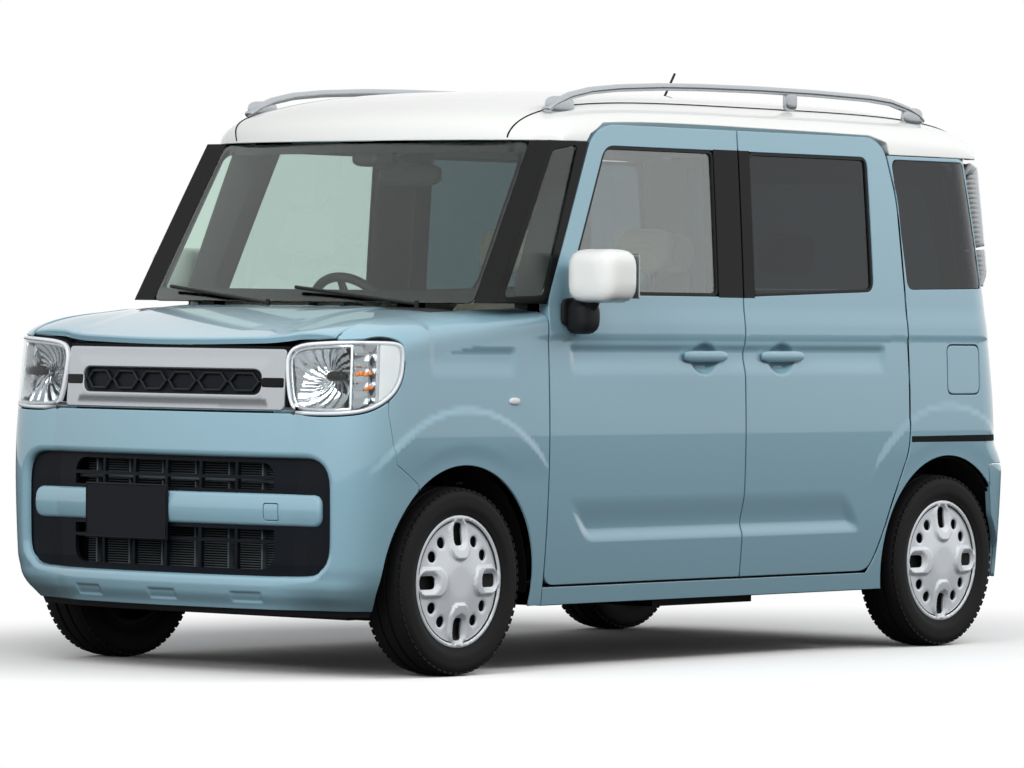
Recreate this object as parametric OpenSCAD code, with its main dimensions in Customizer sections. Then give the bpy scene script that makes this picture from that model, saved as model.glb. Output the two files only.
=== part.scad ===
// A small tall town car: separate panels, glass, wheels and chassis pieces.
// Millimetres. X forward, Y to the car's left, Z up; origin on the ground under the body's middle.

/* [Overall] */
// Length over the bumpers
body_l = 3395; // [3340:5:3450]
// Width over the doors
body_w = 1475; // [1460:5:1490]
// Height of the roof's crown
roof_z = 1768; // [1755:1:1785]
// Height of the sills' lower edge
sill_z = 195; // [185:1:205]
// Height at which the sides are widest
waist_z = 700; // [680:5:720]
// Height of the front door windows' lower edge
belt_z = 1130; // [1120:1:1140]
// Height of the side windows' upper edge
window_top_z = 1578; // [1570:1:1582]
// Height of the side doors' lower edge
door_bottom_z = 256; // [250:1:262]
// Height of the side doors' upper edge
door_top_z = 1645; // [1640:1:1650]
// Height at which the roof's curve starts
eave_z = 1590; // [1588:1:1594]
// How far the sides lean in above the waist
tumblehome = 50; // [40:1:60]
// How far the sides tuck in at the sills
sill_tuck = 28; // [20:1:34]

/* [Nose] */
// How far the front's middle stands ahead of its corners
nose_bow = 45; // [35:1:55]
// Length of the front corner's curve along the car
corner_l = 300; // [280:5:320]
// Width of the front corner's curve across the car
corner_w = 260; // [240:5:280]
// Squareness of the front corners
corner_power = 3.4; // [3.2:0.1:3.6]
// How far the front leans back at the bonnet
nose_lean = 24; // [18:1:30]
// Height at which the front starts to lean back
nose_lean_z = 560; // [540:5:580]
// How far the front tucks back at its lower edge
chin_tuck = 30; // [20:1:40]
// Height under which the front tucks back
chin_z = 330; // [320:5:340]
// Height of the front bumper's upper edge
bumper_top_z = 772; // [768:1:776]
// Height of the bonnet's front edge
bonnet_front_z = 968; // [964:1:974]
// Height of the bonnet's crown at the windscreen
cowl_z = 1086; // [1080:1:1092]
// Height at which the bonnet's crown ends at the nose
brow_z = 976; // [972:1:982]
// Height where the shoulder starts at the nose
shoulder_front_z = 880; // [870:1:890]
// Height where the shoulder starts at the doors
shoulder_rear_z = 1020; // [1010:1:1030]
// Bonnet's rear edge behind the front axle's line
bonnet_rear_back = 12; // [8:1:16]
// Half of the bonnet's width at its seams
bonnet_half = 604; // [598:1:610]

/* [Tail] */
// How far the tail leans forward at the roof
tail_lean = 125; // [110:5:140]
// Height at which the tail starts to lean
tail_lean_z = 750; // [730:10:770]
// How far the tail's middle stands behind its corners
tail_bow = 22; // [16:1:28]
// Radius of the rear corners
tail_corner = 200; // [190:2:210]
// Height of the tailgate's lower edge
tailgate_z = 596; // [590:1:602]
// Half of the tailgate's width
tailgate_half = 590; // [580:1:600]
// Height of the rear bumper's upper edge
tail_bumper_z = 590; // [584:1:595]

/* [Roof] */
// How far behind the middle the roof is highest
roof_peak_back = 300; // [280:5:320]
// Distance of the roof's front end behind the front axle
roof_front_back = 355.5; // [350:1:361]
// How far the roof's front edge bows
roof_bow = 70; // [60:1:80]
// How far the roof's corners draw in
roof_draw = 70; // [60:1:80]
// Thickness of the roof with its lining
roof_t = 45; // [40:1:48]
// Height of the roof rails' upper side
rail_z = 1790; // [1786:1:1800]
// Width of a roof rail
rail_w = 34; // [30:1:38]
// Height of a roof rail's bar
rail_t = 26; // [24:1:28]
// Distance of a roof rail from the middle
rail_y = 600; // [594:1:606]
// Distance of the rails' front ends behind the front axle
rail_front_back = 522.5; // [515:1:530]
// Length of a roof rail
rail_l = 1960; // [1940:5:1980]
// Distance of the antenna behind the middle
antenna_back = 700; // [680:5:720]
// Length of the antenna's rod
antenna_l = 105; // [90:1:115]
// Radius of the antenna's rod
antenna_r = 4; // [3:0.5:5]
// Radius of the antenna's foot
antenna_foot_r = 20; // [16:1:24]
// Height of the antenna's foot
antenna_foot_h = 22; // [18:1:26]
// Lean of the antenna in degrees
antenna_lean = 35; // [25:1:45]

/* [Chassis] */
// Distance of the rear axle ahead of the tail
rear_overhang = 415; // [405:1:425]
// Distance of the front axle behind the nose
front_overhang = 520; // [510:1:530]
// Distance between the front wheels' middles
track_front = 1295; // [1285:1:1305]
// Distance between the rear wheels' middles
track_rear = 1300; // [1290:1:1310]

/* [Wheels] */
// Diameter of a tyre
tyre_d = 557; // [540:1:565]
// Width of a tyre
tyre_w = 155; // [145:1:160]
// Diameter of the rim's seat
rim_d = 356; // [350:1:362]
// Diameter of a wheel cover
cover_d = 394; // [386:1:400]
// Thickness of a wheel cover and its disc
cover_t = 14; // [12:1:16]
// Thickness of a rim's barrel
barrel_t = 6; // [5:0.5:7]
// Radius of a wheel arch
arch_r = 342; // [336:1:346]
// Wall of a wheel arch liner
liner_t = 5; // [4:0.5:6]
// Gap between an arch and its liner
liner_gap = 6; // [4:1:8]
// Radius of the stub axles
stub_r = 27; // [24:0.5:30]
// Running clearance at stub axles, pins and shafts
run_gap = 0.05; // [0.02:0.01:0.1]

/* [Doors] */
// Distance of the front door's front edge behind the front axle
door_setback = 396; // [390:1:400]
// Length of a front door as a share of both doors' length
front_door_share = 0.52438; // [0.515:0.001:0.535]
// Distance of a sliding door's rear edge ahead of the rear axle
slide_lead = 218; // [212:1:222]
// Thickness of a door with its lining
door_t = 60; // [50:1:62]
// Gap round a panel that moves
panel_gap = 6; // [5.5:0.1:7]
// Seam between panels that stay
seam = 0.5; // [0.3:0.1:0.8]
// Gap round a piece in its seat
seat_gap = 0.3; // [0.2:0.1:0.4]
// Thickness of the glass
glass_t = 5; // [4:0.5:6]
// Depth of the side glass behind the skin
glass_depth = 9; // [7:1:12]
// Rounding of a door's corners
door_r = 45; // [40:1:50]
// Rounding of a window's corners
window_r = 34; // [30:1:38]
// Depth of the frame behind the doors
frame_t = 50; // [44:1:54]
// Overlap of a door on its frame
frame_lap = 38; // [34:1:42]
// Depth of the front pillars beside the windscreen
pillar_d = 80; // [76:1:84]
// Front edge of the hinge pillar behind the front axle
pillar_back = 378; // [374:1:382]

/* [Hinges] */
// Distance of a hinge's axis ahead of its panel's edge
hinge_lead = 30; // [28:1:34]
// Depth of a hinge's axis under the skin
hinge_depth = 18; // [16:1:20]
// Radius of a hinge's barrel
barrel_r = 5; // [4.5:0.1:5.5]
// Radius of a hinge's pin
pin_r = 2.5; // [2:0.1:3]
// Height of a hinge's barrel
barrel_h = 24; // [20:1:28]
// Thickness of a hinge's plates and leaves
leaf_t = 6; // [5:0.5:7]
// How far a hinge's leaf reaches in before it turns
leaf_reach = 34; // [32:1:38]
// Height of the doors' lower hinges
hinge_low_z = 560; // [555:1:570]
// Height of the doors' upper hinges
hinge_high_z = 860; // [850:1:870]
// Distance of the bonnet's and tailgate's hinges from the middle
lid_hinge_y = 420; // [400:5:440]
// Width of a pocket for a lid's hinge
pocket_w = 44; // [40:1:48]
// Skin left over a hinge's pocket
pocket_skin = 7; // [6:0.5:8]
// Height of a hinge's pocket
pocket_h = 62; // [58:1:66]
// Depth of a hinge's pocket
pocket_d = 70; // [64:1:76]

/* [Panels] */
// Wall of the bumpers
bumper_t = 24; // [22:0.5:24]
// Wall of the front wings
wing_t = 7; // [6:0.5:7.5]
// Thickness of the bonnet
bonnet_t = 22; // [18:1:24]
// Thickness of the tailgate with its lining
tailgate_t = 60; // [54:1:64]
// Thickness of the rear side panels
quarter_t = 50; // [46:1:54]
// Depth of the headlamps
lamp_d = 90; // [80:1:100]
// Depth of the tail lamps
tail_lamp_d = 46; // [40:1:48]
// How far the tail lamps stand proud
tail_lamp_proud = 8; // [6:1:10]
// Thickness of the upper grille's panel
grille_t = 16; // [14:1:20]
// Half of the upper grille's width
grille_half = 428; // [424:1:432]
// Height of the upper grille's lower edge
grille_z = 779; // [777:1:781]
// Height of the upper grille's upper edge
grille_top_z = 961; // [958:1:963]
// Half of the grille's slot
slot_half = 352; // [346:1:358]
// Height of the slot's lower edge
slot_z = 826; // [822:1:830]
// Height of the slot
slot_h = 68; // [64:1:72]
// Half of the lower opening's width
intake_half = 606; // [598:1:612]
// Height of the lower opening's lower edge
intake_z = 300; // [296:1:304]
// Height of the lower opening
intake_h = 340; // [330:1:345]
// Rounding of the lower opening
intake_r = 90; // [80:1:100]
// Half of the bumper bar's width
bar_half = 572; // [564:1:580]
// Height of the bumper bar's lower edge
bar_z = 436; // [432:1:440]
// Height of the bumper bar
bar_h = 106; // [100:1:110]
// Distance of the dark insert behind the bumper's skin
insert_back = 24.6; // [24.4:0.1:25]
// Thickness of the dark insert
insert_t = 14; // [12:1:16]
// Half of the radiator window in the insert
core_half = 396; // [390:1:402]
// Width of the insert's thin bars
rib_w = 10; // [8:1:12]
// Number plate's width
plate_w = 330; // [330:330]
// Number plate's height
plate_h = 165; // [165:165]
// Number plate's thickness
plate_t = 8; // [6:1:10]
// Number plate's middle to the car's right
plate_off = 140; // [130:1:150]
// Height of the number plate's middle
plate_z = 472; // [468:1:476]
// Depth of the handle cups
cup_d = 26; // [22:1:28]
// Radius of the handle cups
cup_r = 52; // [48:1:56]
// Length of a door handle
handle_l = 220; // [210:1:228]
// Height of a door handle
handle_h = 34; // [30:1:38]
// Height of the handles' middle
handle_z = 942; // [938:1:946]
// Gap behind a handle's bar
handle_gap = 8; // [6:1:10]
// Thickness of a handle's bar
handle_t = 22; // [20:1:24]
// Width of the fuel lid
fuel_w = 176; // [168:1:182]
// Height of the fuel lid
fuel_h = 156; // [150:1:160]
// Thickness of the fuel lid
fuel_t = 9; // [8:0.5:10]
// Depth of the fuel lid's pocket
fuel_d = 37; // [36:1:40]
// Height of the fuel lid's middle
fuel_z = 900; // [895:1:905]
// Distance of the fuel lid's middle behind the rear axle
fuel_back = 88; // [84:1:92]

/* [Cabin] */
// Thickness of the floor
floor_t = 24; // [20:1:28]
// Height of the front floor's underside
floor_z = 206; // [204:1:210]
// Height of the rear floor's underside
rear_floor_z = 420; // [410:1:430]
// Distance of the wheel housings' inner sides from the rear wheels' middles
rear_floor_in = 120; // [116:1:126]
// Width of a sill beam
sill_w = 120; // [112:1:126]
// Height of a sill beam
sill_h = 52; // [48:1:54]
// Thickness of the bulkhead
bulkhead_t = 20; // [16:1:24]
// Width of a seat
seat_w = 490; // [470:5:505]
// Distance of a front seat's middle from the car's middle
seat_y = 275; // [268:1:282]
// Height of the seats' cushions
seat_z = 640; // [630:1:650]
// Thickness of a seat cushion
cushion_t = 150; // [140:1:160]
// Length of a seat cushion
cushion_l = 500; // [480:5:510]
// Height of a seat's back
backrest_h = 560; // [540:5:570]
// Thickness of a seat's back
backrest_t = 130; // [120:1:140]
// Lean of the seats' backs in degrees
backrest_lean = 16; // [14:1:18]
// Height of a headrest
headrest_h = 170; // [160:1:180]
// Width of a headrest
headrest_w = 250; // [240:1:260]
// Rounding of the seats
seat_r = 40; // [36:1:44]
// Radius of the steering wheel
steer_r = 180; // [174:1:186]
// Radius of the steering wheel's grip
grip_r = 15; // [13:1:17]
// Lean of the steering wheel's plane in degrees
steer_lean = 28; // [26:1:30]
// Distance of the steering wheel's middle from the car's middle
steer_y = 330; // [324:1:336]
// Height of the steering wheel's middle
steer_z = 1030; // [1020:1:1040]
// Distance of the steering wheel's middle behind the front axle
steer_back = 737.5; // [730:1:745]

/* [Hidden] */
// Segments of round shapes
$fn = 48;
half_w = body_w/2;
nose_x = body_l/2;
tail_x = -body_l/2;
axle_f = nose_x - front_overhang;
axle_r = tail_x + rear_overhang;
hub_z = tyre_d/2;
rear_floor_half = track_rear/2 - rear_floor_in;
door_f = axle_f - door_setback;
slide_r = axle_r + slide_lead;
rail_front_x = axle_f - rail_front_back;
steer_x = axle_f - steer_back;
cabin_l = door_f - slide_r;
front_door_l = front_door_share*cabin_l;
door_m = door_f - front_door_l;
slide_f = door_m - panel_gap;
slide_door_l = slide_f - slide_r;
door_h = door_top_z - door_bottom_z;
window_h = window_top_z - belt_z;
bonnet_r = axle_f - bonnet_rear_back;
roof_rise = roof_z - eave_z;
roof_fore_l = axle_f - roof_front_back + roof_peak_back;
roof_aft_l = tail_lean_end() - roof_peak_back;
liner_r = arch_r + liner_gap;
// A length far past every piece, for cuts
far = body_l;
// A cut's lap past a face, so that no cut ends on one
lap = 40;

// Shares of a front door's length and height, front edge first
front_door_shares = [[0,0],[0,0.616],[0.247,0.973],[0.33,1],[1,1],[1,0]];
// Shares of a front door's length, and of the window's height
front_window_shares = [[0.094,0],[0.312,1],[0.878,1],[0.878,0]];
// Shares of a sliding door's length and height
slide_door_shares = [[0,0],[0,1],[0.82,1],[0.895,0.975],[0.955,0.857],[0.988,0.625],[1,0.449],[1,0.334],
 [0.993,0.277],[0.942,0.207],[0.904,0.162],[0.858,0.093],[0.803,0.026],[0.761,0]];
// Shares of a sliding door's length, and of the window's height
slide_window_shares = [[0.058,0.004],[0.058,1],[0.785,1],[0.795,0.05]];
// Rear quarter window's shares
quarter_window_shares = [[-0.79,0.062],[-1.03,0.995],[0.54,0.995],[0.86,0.078]];
// Half length of the rear quarter window's frame
quarter_span = 266;
// Shares of the front pillar's length and height, lower rear corner first
pillar_shares = [[0,0],[0.515,0],[-0.095,1],[-0.472,1]];
// Shares of the front quarter window in the same frame
pillar_window_shares = [[0.035,0.05],[0.418,0.038],[-0.115,0.94],[-0.36,0.975]];
// Length that the front pillar's shares stand for
pillar_l = 486;
// Height of the front pillar's foot
pillar_z = 1098;
// Shares of a headlamp's half width and height, from its middle
lamp_shares = [[-1,-0.72],[-0.93,0.95],[-0.75,1],[0.8,0.99],[0.97,0.8],[1,0.25],[0.72,-0.65],[0.1,-1],[-0.75,-0.93]];
// Middle of a headlamp across the car
lamp_y = 582;
// Height of a headlamp's middle
lamp_z = 878;
// Half width of a headlamp
lamp_half = 144;
// Half height of a headlamp
lamp_half_h = 108;
// Rounding of a headlamp's corners
lamp_r = 34;
// Shares of the seam between wing and bumper, back from the nose and up
wing_seam_shares = [[0.575,0.72],[0.4,0.8],[0.345,1.02]];
// Shares of the seam between rear panel and bumper, from the tail and up
tail_seam_shares = [[0.2,0.55],[0.36,0.72],[0.44,1]];
// Power of the roof's cross-section
roof_power = 3;
// Powers of the roof's long section, ahead and behind
fore_power = 3.2;
aft_power = 4;
// Power of the shoulder's section
shoulder_power = 4.5;
// Power of the sides' lean
side_power = 1.4;

// Skin of the body

function tail_lean_end() = body_l/2 - tail_lean;
function share(a, b, t) = a + (b - a)*t;
function clamp01(t) = max(0, min(1, t));
function side_half(z) = z < waist_z
 ? half_w - sill_tuck*pow((waist_z - z)/(waist_z - sill_z), 2)
 : half_w - tumblehome*pow((z - waist_z)/(door_top_z - waist_z), side_power);
function nose_at(z) = nose_x - nose_lean*pow(max(0, (z - nose_lean_z)/(bonnet_front_z - nose_lean_z)), 1.5)
 - chin_tuck*pow(max(0, (chin_z - z)/(chin_z - sill_z)), 2);
function tail_at(z) = tail_x + tail_lean*pow(max(0, (z - tail_lean_z)/(eave_z - tail_lean_z)), 1.3);
function nose_corner(z) = nose_at(z) - nose_bow - corner_l;
function tail_corner_x(z) = tail_at(z) + tail_bow + tail_corner;
function nose_drop(x, z) = corner_w*(1 - pow(1 - pow(clamp01((x - nose_corner(z))/corner_l), corner_power), 1/corner_power));
function tail_drop(x, z) = tail_corner*(1 - sqrt(1 - pow(clamp01((tail_corner_x(z) - x)/tail_corner), 2)));
function side_at(x, z) = side_half(z) - nose_drop(x, z) - tail_drop(x, z);
// Front skin: s across, one to two round the corner, past two along the side
function front_skin(s, z) = let(k = abs(s), flat = side_half(z) - corner_w, a = 90*clamp01(k - 1),
 r = pow(pow(cos(a), corner_power) + pow(sin(a), corner_power), -1/corner_power), y = k <= 1 ? k*flat : flat + corner_w*r*sin(a))
 [nose_at(z) - nose_bow*pow(min(y, flat)/flat, 2) - corner_l*(1 - r*cos(a)) - corner_l*max(0, k - 2), sign(s)*y, z];
function tail_skin(s, z) = let(k = abs(s), flat = side_half(z) - tail_corner, a = 90*clamp01(k - 1),
 y = k <= 1 ? k*flat : flat + tail_corner*sin(a))
 [tail_at(z) + tail_bow*pow(min(y, flat)/flat, 2) + tail_corner*(1 - cos(a)) + tail_corner*max(0, k - 2), sign(s)*y, z];
function along_nose(x) = clamp01((x - door_f)/(nose_x - door_f));
function shoulder_z(x) = share(shoulder_rear_z, shoulder_front_z, along_nose(x));
function crown_z(x) = cowl_z + (brow_z - cowl_z)*(x > bonnet_r ? pow((x - bonnet_r)/(nose_x - bonnet_r), 1.7) : 0.12*(x - bonnet_r)/(nose_x - bonnet_r));
function hood_z(x, y) = let(w = side_at(x, shoulder_z(x)))
 shoulder_z(x) + (crown_z(x) - shoulder_z(x))*pow(max(0, 1 - pow(min(1, abs(y)/w), shoulder_power)), 1/shoulder_power);
// Share of the side's breadth the bonnet may reach
hood_share = 0.99;
function hood_skin(x, k) = let(y = k*min(bonnet_half + lap, hood_share*side_at(x, shoulder_z(x)))) [x, y, hood_z(x, y)];
// Wing skin: v up to one runs up the side, past one over the shoulder
function wing_skin(x, v) = v <= 1 ? let(z = share(sill_z - lap, shoulder_z(x), v)) [x, side_at(x, z), z]
 : let(a = 90*(v - 1), w = side_at(x, shoulder_z(x)))
  [x, w*pow(cos(a), 2/shoulder_power), shoulder_z(x) + (crown_z(x) - shoulder_z(x))*pow(sin(a), 2/shoulder_power)];
function roof_half() = side_half(eave_z);
// Roof skin at depth t: p from front edge to tail, q from left edge to right
function roof_skin(p, q, t) = let(fore = p < 90, power = fore ? fore_power : aft_power, k = pow(abs(cos(q)), 2/roof_power),
 reach = (fore ? roof_fore_l - roof_bow*k*k - roof_draw*pow(k, 8) : roof_aft_l - tail_bow*k*k - roof_draw*pow(k, 10)) - t)
 [-roof_peak_back + (fore ? 1 : -1)*reach*pow(abs(cos(p)), 2/power), sign(cos(q))*(roof_half() - t)*k,
 eave_z + (roof_rise - t)*pow(sin(p), 2/power)*pow(sin(q), 2/roof_power)];
function screen_skin(k, v) = let(z = share(pillar_z - seam, eave_z - panel_gap, v), w = side_half(z) - pillar_d - seam,
 edge = share(pillar_shares[1][0], pillar_shares[2][0], (z - pillar_z)/(eave_z - pillar_z)))
 [door_f + panel_gap + pillar_l*edge + roof_bow*(1 - k*k), k*w, z];
function steps(a, b, n) = [for (i = [0:n]) share(a, b, i/n)];
function unit(v) = v/norm(v);
// A point inside the body, from which every skin faces away
core = [0, 0, waist_z];
// The point of skin f moved in along its normal by t
function under(f, u, v, t) = let(e = 0.01, n = unit(cross(f(u + e, v) - f(u - e, v), f(u, v + e) - f(u, v - e))))
 f(u, v) - n*(n*(f(u, v) - core) > 0 ? t : -t);

// A closed panel between the skins f and g, over the steps us and vs
module shell(us, vs, f, g) {
 nu = len(us);
 nv = len(vs);
 n = nu*nv;
 points = concat([for (u = us) for (v = vs) f(u, v)], [for (u = us) for (v = vs) g(u, v)]);
 im = floor(nu/2)*nv + floor(nv/2);
 way = cross(points[im] - points[im - nv], points[im] - points[im - 1])*(points[im] - points[im + n]) > 0;
 skin = [for (i = [0:nu-2]) for (j = [0:nv-2]) each
  [[i*nv+j, i*nv+j+1, (i+1)*nv+j], [(i+1)*nv+j, i*nv+j+1, (i+1)*nv+j+1]]];
 back = [for (face = skin) [face[0]+n, face[2]+n, face[1]+n]];
 rim = concat([for (j = [0:nv-2]) j], [for (i = [0:nu-2]) i*nv+nv-1], [for (j = [nv-1:-1:1]) (nu-1)*nv+j], [for (i = [nu-1:-1:1]) i*nv]);
 m = len(rim);
 walls = [for (i = [0:m-1]) each let(a = rim[i], b = rim[(i+1)%m]) [[a, a+n, b], [b, a+n, b+n]]];
 all = concat(skin, back, walls);
 polyhedron(points, way ? all : [for (face = all) [face[0], face[2], face[1]]]);
}
// A panel from depth d0 to depth d1 under the skin f
module panel(us, vs, f, d0, d1) {
 shell(us, vs,function(u, v) under(f, u, v, d0),function(u, v) under(f, u, v, d1));
}

// Shapes that many pieces share

module rounded(r) {
 offset(r) offset(-r) children();
}
// A prism along Y from a flat shape in X and Z
module across(y0, y1) {
 translate([0, y1, 0]) rotate([90, 0, 0]) linear_extrude(y1 - y0) children();
}
// A prism along X from a flat shape in Y and Z
module lengthways(x0, x1) {
 translate([x0, 0, 0]) rotate([90, 0, 90]) linear_extrude(x1 - x0) children();
}
module both_sides() {
 children();
 mirror([0, 1, 0]) children();
}
// Section of a side wall in Y and Z, from depth d0 to depth d1 under the skin
module wall_section(z0, z1, d0, d1) {
 zs = steps(z0, z1, 14);
 polygon(concat([for (z = zs) [side_half(z) - d0, z]], [for (i = [14:-1:0]) [side_half(zs[i]) - d1, zs[i]]]));
}
module side_wall(x0, x1, z0, z1, d0, d1) {
 lengthways(x0, x1) wall_section(z0, z1, d0, d1);
}
module arch(x, r) {
 translate([x, 0, hub_z]) rotate([90, 0, 0]) cylinder(h = far, r = r,center = true);
}
function at_door(s) = [door_f - s[0]*front_door_l, door_bottom_z + s[1]*door_h];
function at_slide(s) = [slide_f - s[0]*slide_door_l, door_bottom_z + s[1]*door_h];
module front_door_outline() {
 rounded(door_r) polygon([for (s = front_door_shares) at_door(s)]);
}
module slide_door_outline() {
 rounded(door_r) polygon([for (s = slide_door_shares) at_slide(s)]);
}
module front_window() {
 rounded(window_r) polygon([for (s = front_window_shares) [door_f - s[0]*front_door_l, belt_z + s[1]*window_h]]);
}
module slide_window() {
 rounded(window_r) polygon([for (s = slide_window_shares) [slide_f - s[0]*slide_door_l, belt_z + s[1]*window_h]]);
}
module quarter_window() {
 rounded(window_r) polygon([for (s = quarter_window_shares) [axle_r - s[0]*quarter_span, belt_z + s[1]*window_h]]);
}
module pillar_outline() {
 polygon([for (s = pillar_shares) [door_f + panel_gap + s[0]*pillar_l, pillar_z + s[1]*(eave_z - seam - pillar_z)]]);
}
module pillar_window() {
 polygon([for (s = pillar_window_shares) [door_f + panel_gap + s[0]*pillar_l, pillar_z + s[1]*(eave_z - seam - pillar_z)]]);
}
module lamp_outline() {
 rounded(lamp_r) polygon([for (s = lamp_shares) [lamp_y + s[0]*lamp_half, lamp_z + s[1]*lamp_half_h]]);
}
module slab(x0, x1, y0, y1, z0, z1) {
 translate([x0, y0, z0]) cube([x1 - x0, y1 - y0, z1 - z0]);
}

// Sizes of the pieces below

// Height of the front bumper's lower edge
chin_low_z = 176;
// Height of the upper edge of the frames behind the doors
frame_top_z = 1622;
// Steps of the front bumper across, one to two round a corner, and its heights
bumper_ss = concat(steps(-2.1, -1, 9), steps(-0.75, 0.75, 6), steps(1, 2.1, 9));
bumper_zs = concat(steps(chin_low_z, chin_z, 3), steps(nose_lean_z, bumper_top_z, 2));
// Height of the windscreen's lower edge
screen_z = 1090;
// Steps of the roof's panel, front to tail and left to right
roof_ps = [0.02, 2, 6, 12, 21, 33, 50, 70, 90, 110, 132, 150, 163, 171, 176, 178.6, 179.9];
roof_qs = [0.02, 1.5, 5, 11, 20, 32, 48, 68, 90, 112, 132, 148, 160, 169, 175, 178.5, 179.98];
// Ends of tail lamps and tailgate round the rear corner, in shares
lamp_in_share = 1.225;
lamp_out_share = 1.69;
gate_share = 1.19;
// Depth of the handle band in the doors
band_d = 6;
// Heights of the handle band's lower edge, middle and upper edge
band_low_z = 890;
band_mid_z = 956;
band_top_z = 1008;
// Places of the handle band's ends
band_lead = 121.5;
band_front_x = door_f - band_lead;
band_end = 119.5;
band_rear_x = slide_r + band_end;
// Places of the handles' middles
handle_lead = 200.5;
handle_front_x = door_m + handle_lead;
handle_back = 191.5;
handle_rear_x = slide_f - handle_back;
// Distance between the two lobes of a handle cup
cup_span = 84;
// Radius of the steering axis's lower pin
king_r = 8;
// Height of the steering axis's lower end
king_low_z = 162;
// Distance of the steering axis's lower end from the middle
king_low_in = 45.5;
king_low_y = track_front/2 - king_low_in;
// Height of the steering axis's upper end
king_top_z = 852;
// Distance of the steering axis's upper end from the middle
king_top_in = 147.5;
king_top_y = track_front/2 - king_top_in;
// Radius of the dampers
damper_r = 23;
// Radius of the springs
spring_r = 46;
// Heights of the springs' ends
spring_low_z = 642;
spring_top_z = 800;
// Half thickness of a knuckle
knuckle_half = 30;
// Faces of a knuckle's upright
upright_in_in = 65.5;
upright_in_y = track_front/2 - upright_in_in;
upright_out_in = 35.5;
upright_out_y = track_front/2 - upright_out_in;
// Upright's lower and upper ends
upright_low_z = 190;
upright_top_z = 424;
// Height of the bracket to the damper
bracket_low_z = 386;
// Place of the damper's lower end
damper_low_in = 121.5;
damper_low_y = track_front/2 - damper_low_in;
// Half width of the lower arms
arm_half = 26;
// Thickness of the lower arms
arm_t = 22;
// Half width of the front cross beam and of the rails' space
beam_in = 307.5;
beam_half = track_front/2 - beam_in;
// Rails' faces
rail_in = 317.5;
rail_in_y = track_front/2 - rail_in;
beam_w = 65;
rail_out_y = rail_in_y + beam_w;
// Rails' lower and upper sides
rail_low_z = 400;
rail_top_z = 480;
// Rails' front end
rail_end_back = 137.5;
rail_end_x = nose_x - rail_end_back;
// Half length of the front cross beam
beam_half_l = 60;
// Bulkhead's front face
bulkhead_back = 277.5;
bulkhead_x = axle_f - bulkhead_back;
// Bulkhead's upper edge
bulkhead_top_z = 1012;
// Half width of the bulkhead
bulkhead_half = 600;
// Cowl beam's front face
cowl_beam_back = 85.5;
cowl_beam_x = axle_f - cowl_beam_back;
// Cowl beam's lower side
cowl_beam_z = 980;
// Strut tower's half length and its cap's height
tower_half = 110;
tower_z = 862;
tower_top_z = 880;
tower_in = 81.5;
tower_out_y = track_front/2 - tower_in;
// Room for a steered wheel: radius round its axis, and height
wheel_room_r = 332;
wheel_room_z = 640;
// Bumper beam's faces
crash_back = 135.5;
crash_back_x = nose_x - crash_back;
crash_lead = 91.5;
crash_front_x = nose_x - crash_lead;
crash_half = 420;
crash_low_z = 444;
crash_top_z = 524;
// Tow eye's thread radius, its boss and the holes before it
tow_r = 9;
tow_boss_r = 18;
tow_hole_r = 24;
// Place of the tow eye across and up
tow_y = 395;
tow_z = 483;
// Front end of the tow eye's boss
tow_back = 75.5;
tow_front_x = nose_x - tow_back;
// Engine block's faces
engine_back = 167.5;
engine_back_x = axle_f - engine_back;
engine_lead = 227.5;
engine_front_x = nose_x - engine_lead;
engine_in = 12;
engine_half = rail_in_y - engine_in;
engine_low_z = 290;
engine_top_z = 880;
// Radiator's faces
radiator_back = 197.5;
radiator_back_x = nose_x - radiator_back;
radiator_lead = 157.5;
radiator_front_x = nose_x - radiator_lead;
radiator_low_z = 290;
radiator_top_z = 700;
// Liners' inner edge at the front
liner_in = 85.5;
liner_in_y = track_front/2 - liner_in;
// Liners' lower ends above the ground
liner_low_z = 236;
// Outer edge of the front liners
liner_out_y = 700;
// Half width of a liner's bracket
tab_half = 24;
// Length of an exhaust tab
tab_l = 96;
// Distance of a liner's bracket from the axle
tab_x = 96;
// Thickness of a liner's bracket
tab_t = 14;

// Pieces of the body

module floor_pan() {
 half = side_half(sill_z) - sill_w - seat_gap;
 slope = axle_r + liner_r + lap;
 rear_end = tail_x + tail_corner - lap;
 rise = rear_floor_z - floor_z;
 foot = slope + rise/2;
 color("DimGray") {
  slab(foot - floor_t, bulkhead_x - bulkhead_t - seat_gap, -half, half, floor_z, floor_z + floor_t);
  across(-rear_floor_half, rear_floor_half) polygon([[foot, floor_z], [foot, floor_z + floor_t], [slope, rear_floor_z + floor_t],
   [rear_end, rear_floor_z + floor_t], [rear_end, rear_floor_z], [slope - floor_t, rear_floor_z], [foot - floor_t, floor_z]]);
 }
}
module hinge_axis(z) {
 translate([door_f + hinge_lead, half_w - hinge_depth, z]) children();
}
module door_bracket() {
 reach = door_t + panel_gap + frame_t - hinge_depth;
 gap = barrel_h/2 + seat_gap;
 for (side = [0, 1]) mirror([0, 0, side]) difference() {
  slab(panel_gap - hinge_lead, barrel_r, -reach, barrel_r, gap, gap + leaf_t);
  slab(panel_gap - hinge_lead - lap, -barrel_r, -leaf_reach - leaf_t, lap, 0, far);
 }
 cylinder(h = gap + gap + leaf_t, r = pin_r,center = true);
}
module door_leaf() {
 difference() {
  union() {
   cylinder(h = barrel_h, r = barrel_r,center = true);
   slab(-leaf_t/2, leaf_t/2, -leaf_reach, 0, -barrel_h/2, barrel_h/2);
   slab(-hinge_lead - lap/2, leaf_t/2, -leaf_reach - leaf_t, -leaf_reach, -barrel_h/2, barrel_h/2);
  }
  cylinder(h = barrel_h + barrel_h, r = pin_r + run_gap,center = true);
 }
}
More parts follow.
